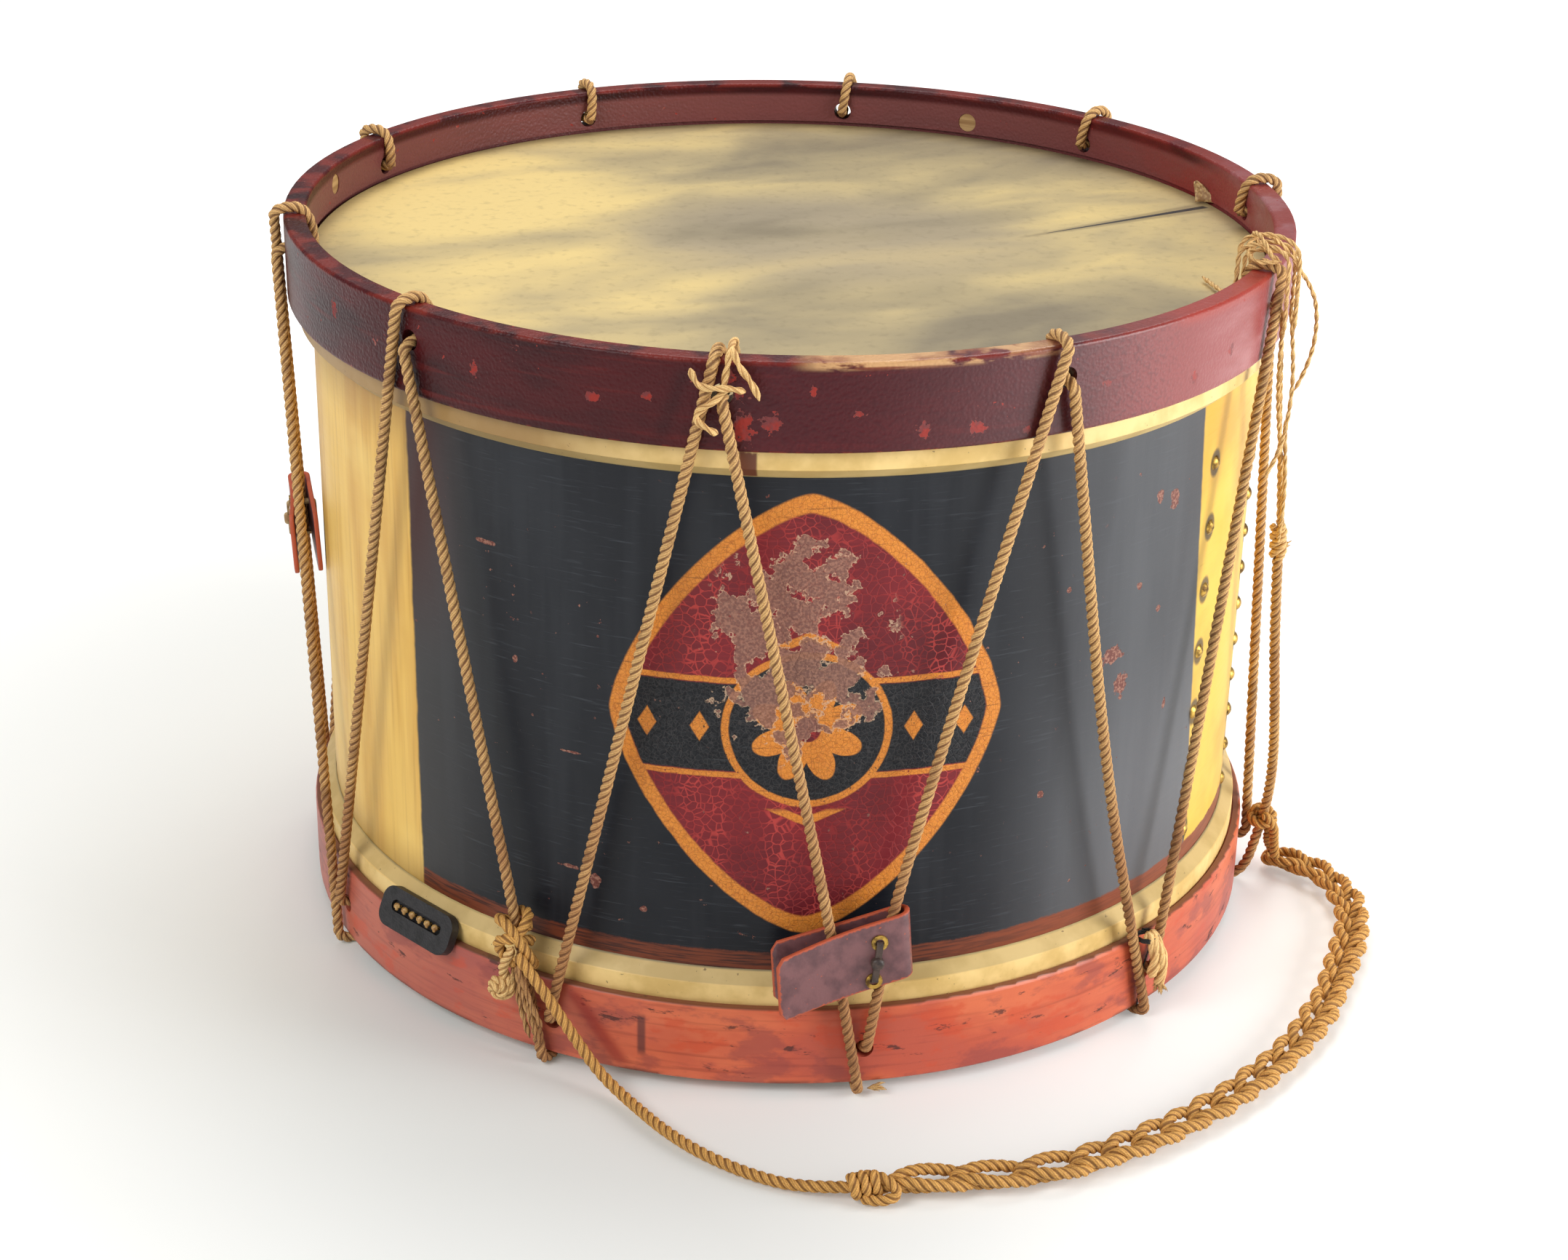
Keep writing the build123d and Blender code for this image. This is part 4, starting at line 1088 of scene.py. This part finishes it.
shine = 0.36 + brushed * 0.14 + craze * device_mask * 0.25
relief = brushed * 0.3 + fine * 0.1 - craze * device_mask * 0.8 - flaked.most(old_flakes) * 0.6
shell.dress(body_colour, roughness=shine, relief=relief, depth=0.3 * mm, strength=0.5, Specular_IOR_Level=0.3)
shell.cover(nodes["shell"])
print("shell painted, with", len(TACKS), "tack marks")

# %% [markdown]
# ## The hoops
# Each hoop is a bent wooden band with many coats of paint. The upper one is dark oxblood with a fine orange
# peel, chipped to an older red, and worn to the wood on its upper edge. The lower one is orange-red with a
# greyish bloom and black scuffs. Wear follows the shape: the edges first, where hands and straps rub.

# %% The upper hoop
upper = Finish("oxblood_paint")
turn, radius = upper.round_the_drum()
height = upper.z
sheet = upper.vector(turn * (math.pi / 180 * 216), height, radius)
cloud = upper.noise(22.0, detail=4.0, stretch=(0.35, 0.35, 1))
grain = upper.noise(3.0, detail=4.0, stretch=(0.06, 0.06, 1))
peel = upper.cells(1.3, "SMOOTH_F1")
coat = upper.mix(cloud.rise(0.35, 0.68), colour(74, 18, 22), colour(48, 14, 18))
coat = upper.mix(grain.rise(0.52, 0.75) * 0.45, coat, colour(108, 30, 28))
coat = upper.mix(turn.within(-6, 44, 6) * 0.45, coat, colour(96, 36, 42))
# Painted highlight: the right side turns lighter red and pale mauve, a painted sheen on the paint.
coat = upper.mix(turn.within(36, 70, 10) * 0.4, coat, colour(196, 92, 88))
coat = upper.mix(turn.within(52, 110, 8) * 0.45, coat, colour(206, 150, 152))
coat = upper.mix(radius.rise(209.5, 207.5) * height.rise(311, 308) * 0.5, coat, colour(150, 92, 90))
red_side = turn.rise(38, 56) * turn.rise(150, 110) * cloud.rise(0.3, 0.6)
coat = upper.mix(red_side * 0.75, coat, colour(140, 40, 38))
coat = upper.mix(peel.rise(0.35, 0.7) * turn.within(-6, 44, 6) * 0.35, coat, colour(60, 18, 26))
chip_map = upper.noise(4.6, detail=3.0)
CHIPS = (
    (19.2, 286.5, 3.0, 2.6), (-1.4, 291.0, 3.4, 3.0), (-19.3, 295.6, 2.8, 2.0), (13.6, 287.7, 2.0, 2.4),
    (-13.6, 298.2, 2.0, 1.6), (2.6, 304.0, 1.0, 1.6), (7.2, 294.8, 1.8, 1.4), (-33.0, 297.0, 1.6, 2.6),
    (-5.6, 308.4, 2.0, 2.4), (-4.6, 301.4, 1.8, 2.2), (-4.2, 288.6, 3.6, 5.0), (34.0, 296.0, 1.8, 1.6),
    (47.0, 288.0, 2.0, 2.4), (54.0, 293.0, 1.6, 2.2), (-56.0, 300.0, 2.0, 3.0), (24.6, 283.4, 1.6, 1.4),
)
chip_edge = upper.noise(1.9, detail=3.0)
chips = upper.spots(turn, height, CHIPS, (chip_edge - 0.5) * 3.6, HOOP_R / mm)
few_chips = (chip_map * 0.6 + chip_edge * 0.4).rise(0.655, 0.665) * upper.noise(38.0).rise(0.42, 0.55)
chips = chips.most(few_chips)
chipped = upper.mix(chip_map.rise(0.40, 0.60), colour(122, 60, 60), colour(158, 52, 44))
chipped = upper.mix(chips.within(0.3, 0.7, 0.25) * 0.6, chipped, colour(206, 150, 138))
coat = upper.mix(chips * 0.9, coat, chipped)
edge = height.rise(312.2, 314.2) * upper.noise(9.0, detail=3.0, stretch=(0.4, 0.4, 1)).rise(0.42, 0.56)
front_edge = height.rise(310.6, 313.2) * turn.within(2, 28, 2) * upper.noise(
    5.0, detail=4.0, stretch=(0.3, 0.3, 1)
).rise(0.42, 0.52)
right_edge = height.rise(309.0, 313.6) * turn.within(44, 66, 3) * cloud.rise(0.3, 0.5)
low_edge = height.rise(280.4, 279.6) * chip_map.rise(0.5, 0.6)
coat = upper.mix((edge + low_edge).least(1.0) * 0.7, coat, colour(132, 44, 34))
coat = upper.mix(right_edge * 0.8, coat, colour(160, 54, 42))
coat = upper.mix(front_edge, coat, upper.mix(grain.rise(0.45, 0.6), colour(206, 160, 112), colour(140, 78, 52)))
rub = (turn - 9 * (height - 300) * 0.01).within(-11.5, -10.0, 0.8) * height.within(282, 310, 4) * 0.4
coat = upper.mix(rub, coat, colour(36, 12, 16))
relief = peel * 0.8 + grain * 0.25 - chips * 0.5 + upper.noise(1.2) * 0.35
upper.dress(coat, roughness=0.34 + chips * 0.3 + grain * 0.1, relief=relief, depth=0.5 * mm, strength=0.7,
            Coat_Weight=turn.within(14, 66, 10) * 0.5 + 0.02, Coat_Roughness=0.3, Specular_IOR_Level=0.2)
upper.cover(nodes["top_counterhoop"])

# %% The lower hoop
lower = Finish("red_paint")
turn, radius = lower.round_the_drum()
height = lower.z
sheet = lower.vector(turn * (math.pi / 180 * 216), height, radius)
cloud = lower.noise(30.0, detail=4.0, stretch=(0.4, 0.4, 1))
grain = lower.noise(2.6, detail=4.0, stretch=(0.05, 0.05, 1))
coat = lower.mix(cloud.rise(0.35, 0.65), colour(220, 114, 76), colour(196, 86, 60))
coat = lower.mix(grain.rise(0.5, 0.72) * 0.4, coat, colour(136, 48, 34))
bloom = turn.rise(-8, -40) * turn.rise(-170, -120) * 0.75 + cloud.rise(0.5, 0.7) * 0.25
coat = lower.mix(bloom * 0.6, coat, colour(150, 92, 92))
blotch = lower.noise(16.0, detail=5.0, roughness=0.6, stretch=(0.5, 0.5, 1))
coat = lower.mix(blotch.rise(0.52, 0.62) * 0.5, coat, colour(134, 62, 62))
coat = lower.mix(blotch.rise(0.44, 0.36) * 0.5, coat, colour(206, 74, 40))
scuff_map = lower.noise(6.5, detail=5.0, roughness=0.7, stretch=(0.3, 0.3, 1))
scuffs = scuff_map.rise(0.61, 0.67)
coat = lower.mix(scuffs * 0.8, coat, colour(56, 36, 36))
tall_mark = (turn + 14.4).within(-0.45, 0.45, 0.2) * height.within(14, 32, 2)
swipe = (turn + 19.5 + (height - 22) * 0.2).within(-1.0, 1.0, 0.8) * height.within(8, 38, 3)
coat = lower.mix(tall_mark * 0.75, coat, colour(70, 40, 44))
coat = lower.mix(swipe * 0.7, coat, colour(140, 30, 22))
low_rub = height.rise(7.5, 5.0) * lower.noise(8.0, stretch=(0.4, 0.4, 1)).rise(0.45, 0.58)
coat = lower.mix(low_rub * 0.8, coat, colour(92, 46, 36))
top_face = height.rise(39.2, 40.0)
coat = lower.mix(top_face * 0.8, coat, colour(96, 68, 48))
relief = grain * 0.6 + lower.noise(1.4) * 0.3 - scuffs * 0.3
lower.dress(coat, roughness=0.36 + scuffs * 0.2 + grain * 0.1, relief=relief, depth=0.3 * mm, strength=0.5,
            Coat_Weight=0.06, Coat_Roughness=0.3, Specular_IOR_Level=0.35)
lower.cover(nodes["bottom_counterhoop"])
print("both hoops painted")

# %% [markdown]
# ## The skins
# Calfskin is translucent and cloudy, olive and gold, and darker where hands and sticks have been. Each skin is
# lapped round a thin hoop, and the lap shows as a pale gold band between the counterhoop and the shell. The
# upper skin has a slit near its rim at the back right.

# %% Skins
def calfskin(name, slit):
    """A clouded skin whose rim is a pale, speckled band."""
    finish = Finish(name)
    turn, radius = finish.round_the_drum()
    aslant = finish.vector(finish.x * 0.92 + finish.y * 0.39, finish.y * 0.92 - finish.x * 0.39, finish.z)
    cloud = finish.noise(56.0, detail=3.0, roughness=0.5, vector=aslant, stretch=(0.5, 1, 1), distortion=0.4)
    patch = finish.noise(130.0, detail=2.0, vector=aslant, stretch=(0.6, 1, 1))
    gold_side = (finish.x + 40).rise(40, -150)
    tone = patch * 0.45 + cloud * 0.55 + gold_side * 0.16 - 0.02
    mottle = finish.noise(5.0, detail=4.0)
    skin_colour = finish.mix(tone.rise(0.36, 0.56), colour(140, 126, 96), colour(184, 164, 116))
    skin_colour = finish.mix(tone.rise(0.48, 0.68), skin_colour, colour(226, 198, 126))
    skin_colour = finish.mix(tone.rise(0.42, 0.34) * 0.4, skin_colour, colour(104, 92, 72))
    grey_x = (finish.x - 15) / 95
    grey_y = (finish.y - 10) / 70
    middle = (grey_x * grey_x + grey_y * grey_y).rise(1.5, 0.1)
    skin_colour = finish.mix(middle * cloud.rise(0.25, 0.5) * 0.6, skin_colour, colour(152, 138, 116))
    skin_colour = finish.mix(mottle.rise(0.5, 0.75) * 0.22, skin_colour, colour(98, 84, 56))
    # Painted shade: the skin darkens toward its rim, where the counterhoop's inner wall stands over it.
    skin_colour = finish.mix(radius.rise(196, 206) * 0.45, skin_colour, colour(96, 76, 44))
    band_cloud = finish.noise(20.0, detail=4.0)
    band_colour = finish.mix(band_cloud.rise(0.36, 0.66), colour(244, 210, 138), colour(216, 180, 106))
    # Painted shade: the band of the upper skin is darker round its left side.
    shaded_left_side = turn.rise(-8, -30) * turn.rise(-170, -120) * finish.z.rise(150, 200)
    band_colour = finish.mix(shaded_left_side * 0.85, band_colour, colour(140, 104, 56))
    slope = radius.rise(211.7, 211.2)
    band_colour = finish.mix(slope * 0.5, band_colour, colour(176, 154, 104))
    specks = finish.noise(2.4, detail=3.0).rise(0.69, 0.74)
    band_colour = finish.mix(specks * 0.7, band_colour, colour(92, 62, 34))
    in_band = radius.rise(206.2, 207.0)
    both = finish.mix(in_band, skin_colour, band_colour)
    relief = mottle * 0.4 + cloud * 0.3
    if slit:
        torn = (turn + 3.7).within(-0.9, 0.9, 0.15) * (finish.z + mottle * 6).within(263, 281, 1.0)
        both = finish.mix(torn * in_band, both, colour(112, 60, 34))
        start, end = slit
        way = (end - start).normalized()
        reach = (finish.x - start.x) * way.x + (finish.y - start.y) * way.y
        aside = (finish.x - start.x) * (-way.y) + (finish.y - start.y) * way.x
        length = (end - start).length
        wide = 0.15 + reach * (1.5 / length)
        cut = (abs(aside) - wide).rise(0.35, -0.1) * reach.within(0, length, 1.0) * (1 - in_band)
        stain = (abs(aside) - wide * 3).rise(2.5, -0.5) * reach.within(-12, length, 8.0) * (1 - in_band)
        both = finish.mix(stain * 0.45, both, colour(74, 58, 40))
        # Painted shade: the slit is near-black, standing in for the dark inside of the drum seen through it.
        both = finish.mix(cut, both, colour(20, 15, 12))
        relief = relief - cut * 1.5
    return finish.dress(both, roughness=0.42 + mottle * 0.15, relief=relief, depth=0.3 * mm, strength=0.5,
                        Coat_Weight=0.08, Coat_Roughness=0.35)


SLIT_START = Vector((113.9, 22.9))
SLIT_END = Vector((190.0, 70.0))
calfskin("batter_skin", (SLIT_START, SLIT_END)).cover(nodes["batter_head"])
calfskin("snare_skin", None).cover(nodes["snare_head"])
print("two skins")

# %% [markdown]
# Beside the slit a small tongue of dry skin has curled up. It is a thin sheet bent upward along its length.

# %% The curled tongue of skin
tongue_base = Vector((0.1905, 0.0745, 0.2958))
tongue_way = Vector((-0.25, 0.55, 0.8)).normalized()
tongue_side = Vector((0.9, -0.3, 0.0)).normalized()
tongue_vertices, tongue_faces = [], []
ROWS, COLUMNS = 7, 5
for i in range(ROWS):
    share = i / (ROWS - 1)
    half_width = 4.6 * mm * (1 - share) ** 0.7 + 0.4 * mm
    middle = tongue_base + tongue_way * 10 * mm * share + Vector((-0.002, 0.001, 0)) * share * share
    for j in range(COLUMNS):
        side = (j / (COLUMNS - 1) - 0.5) * 2
        tongue_vertices.append(middle + tongue_side * half_width * side + Vector((0, -0.0014, 0)) * side * side)
for i in range(ROWS - 1):
    for j in range(COLUMNS - 1):
        a = i * COLUMNS + j
        tongue_faces.append((a, a + 1, a + COLUMNS + 1, a + COLUMNS))
tongue = make_piece("curled_skin", tongue_vertices, tongue_faces)
thick = tongue.modifiers.new("thickness", "SOLIDIFY")
thick.thickness = 0.6 * mm
dry_skin = Finish("dry_skin")
dry_skin.dress(dry_skin.mix(dry_skin.noise(2.0).rise(0.4, 0.6), colour(206, 172, 116), colour(150, 110, 66)),
               roughness=0.55, relief=dry_skin.noise(1.0), depth=0.2 * mm)
dry_skin.cover(tongue)
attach(tongue, "drum")

# %% [markdown]
# ## Leather tugs
# A tug, or ear, is a strip of harness leather folded round a rope and laced beside it. Pushed down it draws a
# pair of legs together and tightens the skins. The strip is a sheet that follows one outline: along the front
# flap, round the fold and back along the rear flap. Then it gets its thickness.

# %% The shape of a tug
ear_specs = {
    "length": 57 * mm, "height": 28.5 * mm, "leather": 2 * mm, "gap": ROPE_D / 2 + 0.5 * mm, "pocket": 8.6 * mm,
}


def tug_sheet(name, place, skew, splay, mirrored, curl):
    """Leather folded round a rope. `place` is the tug's frame: x along the flaps, y up, z outward."""
    gap = ear_specs["gap"] + ear_specs["leather"] / 2
    fold_x = ear_specs["gap"] - ear_specs["pocket"]
    end_x = ear_specs["length"] - ear_specs["pocket"] - ear_specs["leather"]
    outline = []
    steps = 16
    for i in range(steps):
        share = i / steps
        x = end_x + (fold_x - end_x) * share
        open_by = splay * max(0.0, (x - 9 * mm) / (end_x - 9 * mm)) ** 1.6
        outline.append((x, gap + open_by * 0.8))
    for i in range(9):
        angle = math.pi / 2 + math.pi * i / 8
        outline.append((fold_x + gap * math.cos(angle), gap * math.sin(angle)))
    for i in range(1, steps + 1):
        share = i / steps
        x = fold_x + (end_x - fold_x) * share
        open_by = splay * max(0.0, (x - 9 * mm) / (end_x - 9 * mm)) ** 1.6
        outline.append((x, -gap - open_by * 0.1))
    rows = 9
    slope = math.tan(math.radians(-skew if mirrored else skew))
    vertices, faces, uv = [], [], []
    for r in range(rows):
        share = r / (rows - 1) - 0.5
        for n, (x, z) in enumerate(outline):
            y = share * ear_specs["height"]
            sag = curl * (x / end_x) ** 2 if x > 0 else 0
            local = Vector((x + slope * y, y + sag * (1 - 2 * abs(share)) * 0 + sag * (0.5 - share), z))
            if abs(share) > 0.49 and n in (0, len(outline) - 1):
                local.x -= 2.6 * mm
            if mirrored:
                local.x = -local.x
            vertices.append(place @ local)
    columns = len(outline)
    for r in range(rows - 1):
        for n in range(columns - 1):
            a = r * columns + n
            quad = (a, a + 1, a + columns + 1, a + columns)
            faces.append(quad if mirrored else quad[::-1])
            corners = [((n + i) / (columns - 1), (r + j) / (rows - 1)) for i, j in ((0, 0), (1, 0), (1, 1), (0, 1))]
            uv.append(corners if mirrored else corners[::-1])
    sheet = make_piece(name, vertices, faces, uv)
    body = sheet.modifiers.new("leather", "SOLIDIFY")
    body.thickness = ear_specs["leather"]
    body.offset = 0
    rounding = sheet.modifiers.new("worn_edges", "BEVEL")
    rounding.width = 0.5 * mm
    rounding.segments = 2
    rounding.limit_method = "ANGLE"
    rounding.angle_limit = math.radians(50)
    return sheet


def tug_frame(point, rope, outward, turn, tilt, mirrored):
    """The same frame as the solid tug has: turned about the rope, then tilted in its own plane."""
    side = rope.cross(outward).normalized()
    normal = side.cross(rope).normalized()
    swing = math.radians(-turn if mirrored else turn)
    flat = side * math.cos(swing) - normal * math.sin(swing)
    out = normal * math.cos(swing) + side * math.sin(swing)
    lean = math.radians(tilt)
    x_way = (flat * math.cos(lean) + rope * math.sin(lean)).normalized()
    y_way = out.cross(x_way)
    turned = Matrix((x_way, y_way, out)).transposed().to_4x4()
    return Matrix.Translation(point) @ turned


def run_at(start, end, height):
    return start.lerp(end, (height - start.z) / (end.z - start.z))


# %% Leather
def leather(name, face, worn, edge):
    """Harness leather with pores, worn patches and rubbed edges."""
    finish = Finish(name)
    along = finish.node("ShaderNodeUVMap", {"uv_map": "along"})
    u = finish.node("ShaderNodeSeparateXYZ", inputs={0: along}, output=0)
    v = finish.node("ShaderNodeSeparateXYZ", inputs={0: along}, output=1)
    pores = finish.cells(0.9, "SMOOTH_F1")
    cloud = finish.noise(7.0, detail=4.0)
    crack = finish.noise(1.6, detail=4.0)
    shade = finish.mix(cloud.rise(0.35, 0.68), face, worn)
    edge_gap = (u.least(1 - u) * 118).least(v.least(1 - v) * 28.5)
    rubbed = (edge_gap + crack * 2.4 - 1.2).rise(1.0, 0.3)
    fold = abs(u - 0.5).rise(0.06, 0.03) * crack.rise(0.35, 0.6)
    shade = finish.mix((rubbed + fold * 0.5).least(1.0), shade, edge)
    flecks = finish.noise(1.4, detail=3.0).rise(0.70, 0.73)
    shade = finish.mix(flecks * 0.8, shade, edge)
    relief = pores * 0.35 + crack * 0.5
    return finish.dress(shade, roughness=0.42 + rubbed * 0.25, relief=relief, depth=0.25 * mm, strength=0.6,
                        Coat_Weight=0.15, Coat_Roughness=0.35)


tug_leather = leather("tug_leather", colour(122, 80, 82), colour(94, 60, 64), colour(186, 84, 52))

# %% The two tugs
front_falling = [hoop_corners(0, True)[3], BENDS[(0, True)][0], hoop_corners(0, False)[0]]
front_rising = [hoop_corners(0, False)[3], *BENDS[(0, False)], hoop_corners(1, True)[0]]
front_point = run_at(front_rising[1], front_rising[2], 70 * mm)
front_rope = (front_rising[2] - front_rising[1]).normalized()
falling_point = run_at(front_falling[1], front_falling[2], 70 * mm)
front_out = (front_point - falling_point).cross(front_rope)
front_place = tug_frame(front_point, front_rope, front_out, 0, 21.5, True)
front_tug = tug_sheet("front_tug_leather", front_place, 10.7, 8 * mm, True, 1.5 * mm)
tug_leather.cover(front_tug)
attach(front_tug, "front_tug")
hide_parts("front_ear")

left_start, left_end = hoop_corners(7, False)[3], hoop_corners(8, True)[0]
left_point = run_at(left_start, left_end, 168 * mm)
left_rope = (left_end - left_start).normalized()
left_place = tug_frame(left_point, left_rope, Vector((left_point.x, left_point.y, 0)), 11.5, 13.5, False)
left_tug = tug_sheet("left_tug_leather", left_place, 0, 3 * mm, False, 1.0 * mm)
tug_leather.cover(left_tug)
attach(left_tug, "left_tug")
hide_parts("left_ear")
print("two leather tugs")

# %% [markdown]
# ## Snares
# Six gut strands come out of the butt, turn under the lower hoop's gate and run across the snare skin to the
# comb, which the thumb nut draws outward.

# %% Gut strands
BUTT_AZ = -44.0
GUT_D = 1.6
GUT_Z = 23.4
GUT_RISE_R = 213.3
COMB_KNOT_R = 201.5
LEAN = math.radians(24.6)
TURN_Z = 42.9
KNOT_OUT = 5.0


def gut_at(out, aside):
    radius = (GUT_RISE_R + out * math.cos(LEAN)) * mm
    return at(BUTT_AZ, radius, (TURN_Z + out * math.sin(LEAN)) * mm, aside * mm)


strands, knots = [], []
for n in range(6):
    aside = 5.0 * (n - 2.5)
    comb_end = at(BUTT_AZ, -COMB_KNOT_R * mm, GUT_Z * mm, aside * mm)
    run = [at(BUTT_AZ, radius * mm, GUT_Z * mm, aside * mm) for radius in (211.0, 195.0, -140.0, -195.0)]
    corner = [at(BUTT_AZ, GUT_RISE_R * mm, height * mm, aside * mm) for height in (41.0, 36.0, 27.0, 24.0)]
    strands.append(smooth_line([gut_at(KNOT_OUT, aside), gut_at(0.8, aside), *corner, *run, comb_end], 1.5 * mm))
    knots.append([gut_at(KNOT_OUT - 1.2, aside), gut_at(KNOT_OUT + 1.4, aside)])
snare_gut = rope_mesh("snare_gut", strands, GUT_D * mm, strands=2, lay=4.0)
at(BUTT_AZ, 0.0, GUT_Z * mm)
at(BUTT_AZ, -0.19, GUT_Z * mm)
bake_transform(snare_gut)
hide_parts("snares")
snare_knots = rope_mesh("snare_knots", [even_steps(knot, 0.5 * mm) for knot in knots], 3.6 * mm, taper=1.2 * mm)
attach(snare_knots, "drum")

# %% [markdown]
# ## Thongs, metal and gut
# What is left keeps its solid shape and gets only its material: rawhide thongs, brass tacks and eyelets, the
# black leather butt, gut snares, the strainer, and the bare wood of the inner hoops and rings.

# %% Small finishes
def metal(name, bright, dark, roughness):
    finish = Finish(name)
    tarnish = finish.noise(3.0, detail=4.0).rise(0.38, 0.66)
    shade = finish.mix(tarnish, bright, dark)
    return finish.dress(shade, roughness=roughness + tarnish * 0.2, metallic=1.0 - tarnish * 0.25,
                        relief=finish.noise(0.8), depth=0.08 * mm)


def plain_leather(name, face, worn, shine):
    finish = Finish(name)
    pores = finish.cells(0.8, "SMOOTH_F1")
    cloud = finish.noise(4.0, detail=4.0)
    shade = finish.mix(cloud.rise(0.4, 0.68), face, worn)
    return finish.dress(shade, roughness=shine + cloud * 0.15, relief=pores * 0.5 + cloud, depth=0.2 * mm)


def bare_wood(name, light, dark):
    finish = Finish(name)
    turn, radius = finish.round_the_drum()
    sheet = finish.vector(turn * (math.pi / 180 * 206), finish.z, radius)
    grain = finish.noise(2.4, detail=5.0, vector=sheet, stretch=(0.06, 1, 1))
    pores = finish.noise(0.7, detail=3.0, vector=sheet, stretch=(0.1, 1, 1))
    shade = finish.mix(grain.rise(0.36, 0.66), light, dark)
    return finish.dress(shade, roughness=0.62, relief=grain * 0.6 + pores * 0.4, depth=0.2 * mm)


brass = metal("aged_brass", colour(206, 168, 84), colour(96, 70, 34), 0.34)
iron = metal("dark_iron", colour(74, 68, 62), colour(60, 40, 28), 0.5)
thong = plain_leather("thong", colour(74, 58, 50), colour(46, 36, 34), 0.4)
cream_thong = plain_leather("cream_thong", colour(196, 168, 122), colour(150, 116, 74), 0.55)
butt_leather = plain_leather("butt_leather", colour(40, 38, 40), colour(22, 21, 22), 0.38)
wood = bare_wood("bare_wood", colour(190, 154, 104), colour(150, 112, 68))
gut = plain_leather("gut", colour(196, 156, 92), colour(152, 108, 56), 0.3)
brass.cover(nodes["seam_tacks"], nodes["vent_grommet"], nodes["front_ear_eyelets"], nodes["left_ear_eyelets"])
brass.cover(nodes["strainer_plate"], nodes["strainer_nut"], nodes["strainer_hook"])
iron.cover(nodes["strainer_screws"])
thong.cover(nodes["front_ear_thong"])
cream_thong.cover(nodes["left_ear_thong"])
butt_leather.cover(nodes["snare_butt"])
gut.cover(snare_gut, snare_knots)
wood.cover(nodes["batter_glue_ring"], nodes["snare_glue_ring"], nodes["batter_flesh_hoop"])
wood.cover(nodes["snare_flesh_hoop"], nodes["hoop_plugs"])
print("small finishes done")

# %% [markdown]
# ## Smooth shading
# The solids come as many flat facets. Shading by angle rounds the curved walls and keeps the edges crisp.

# %% Shade the solids
for node in nodes.values():
    node.data.shade_smooth()
    if hasattr(node.data, "set_sharp_from_angle"):
        node.data.set_sharp_from_angle(angle=math.radians(32))

# %% Measure and finish
visual_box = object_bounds()
for name, (low, high) in (("CAD", cad_box), ("visual", visual_box)):
    print(name, [round(v / mm, 1) for v in low], [round(v / mm, 1) for v in high])
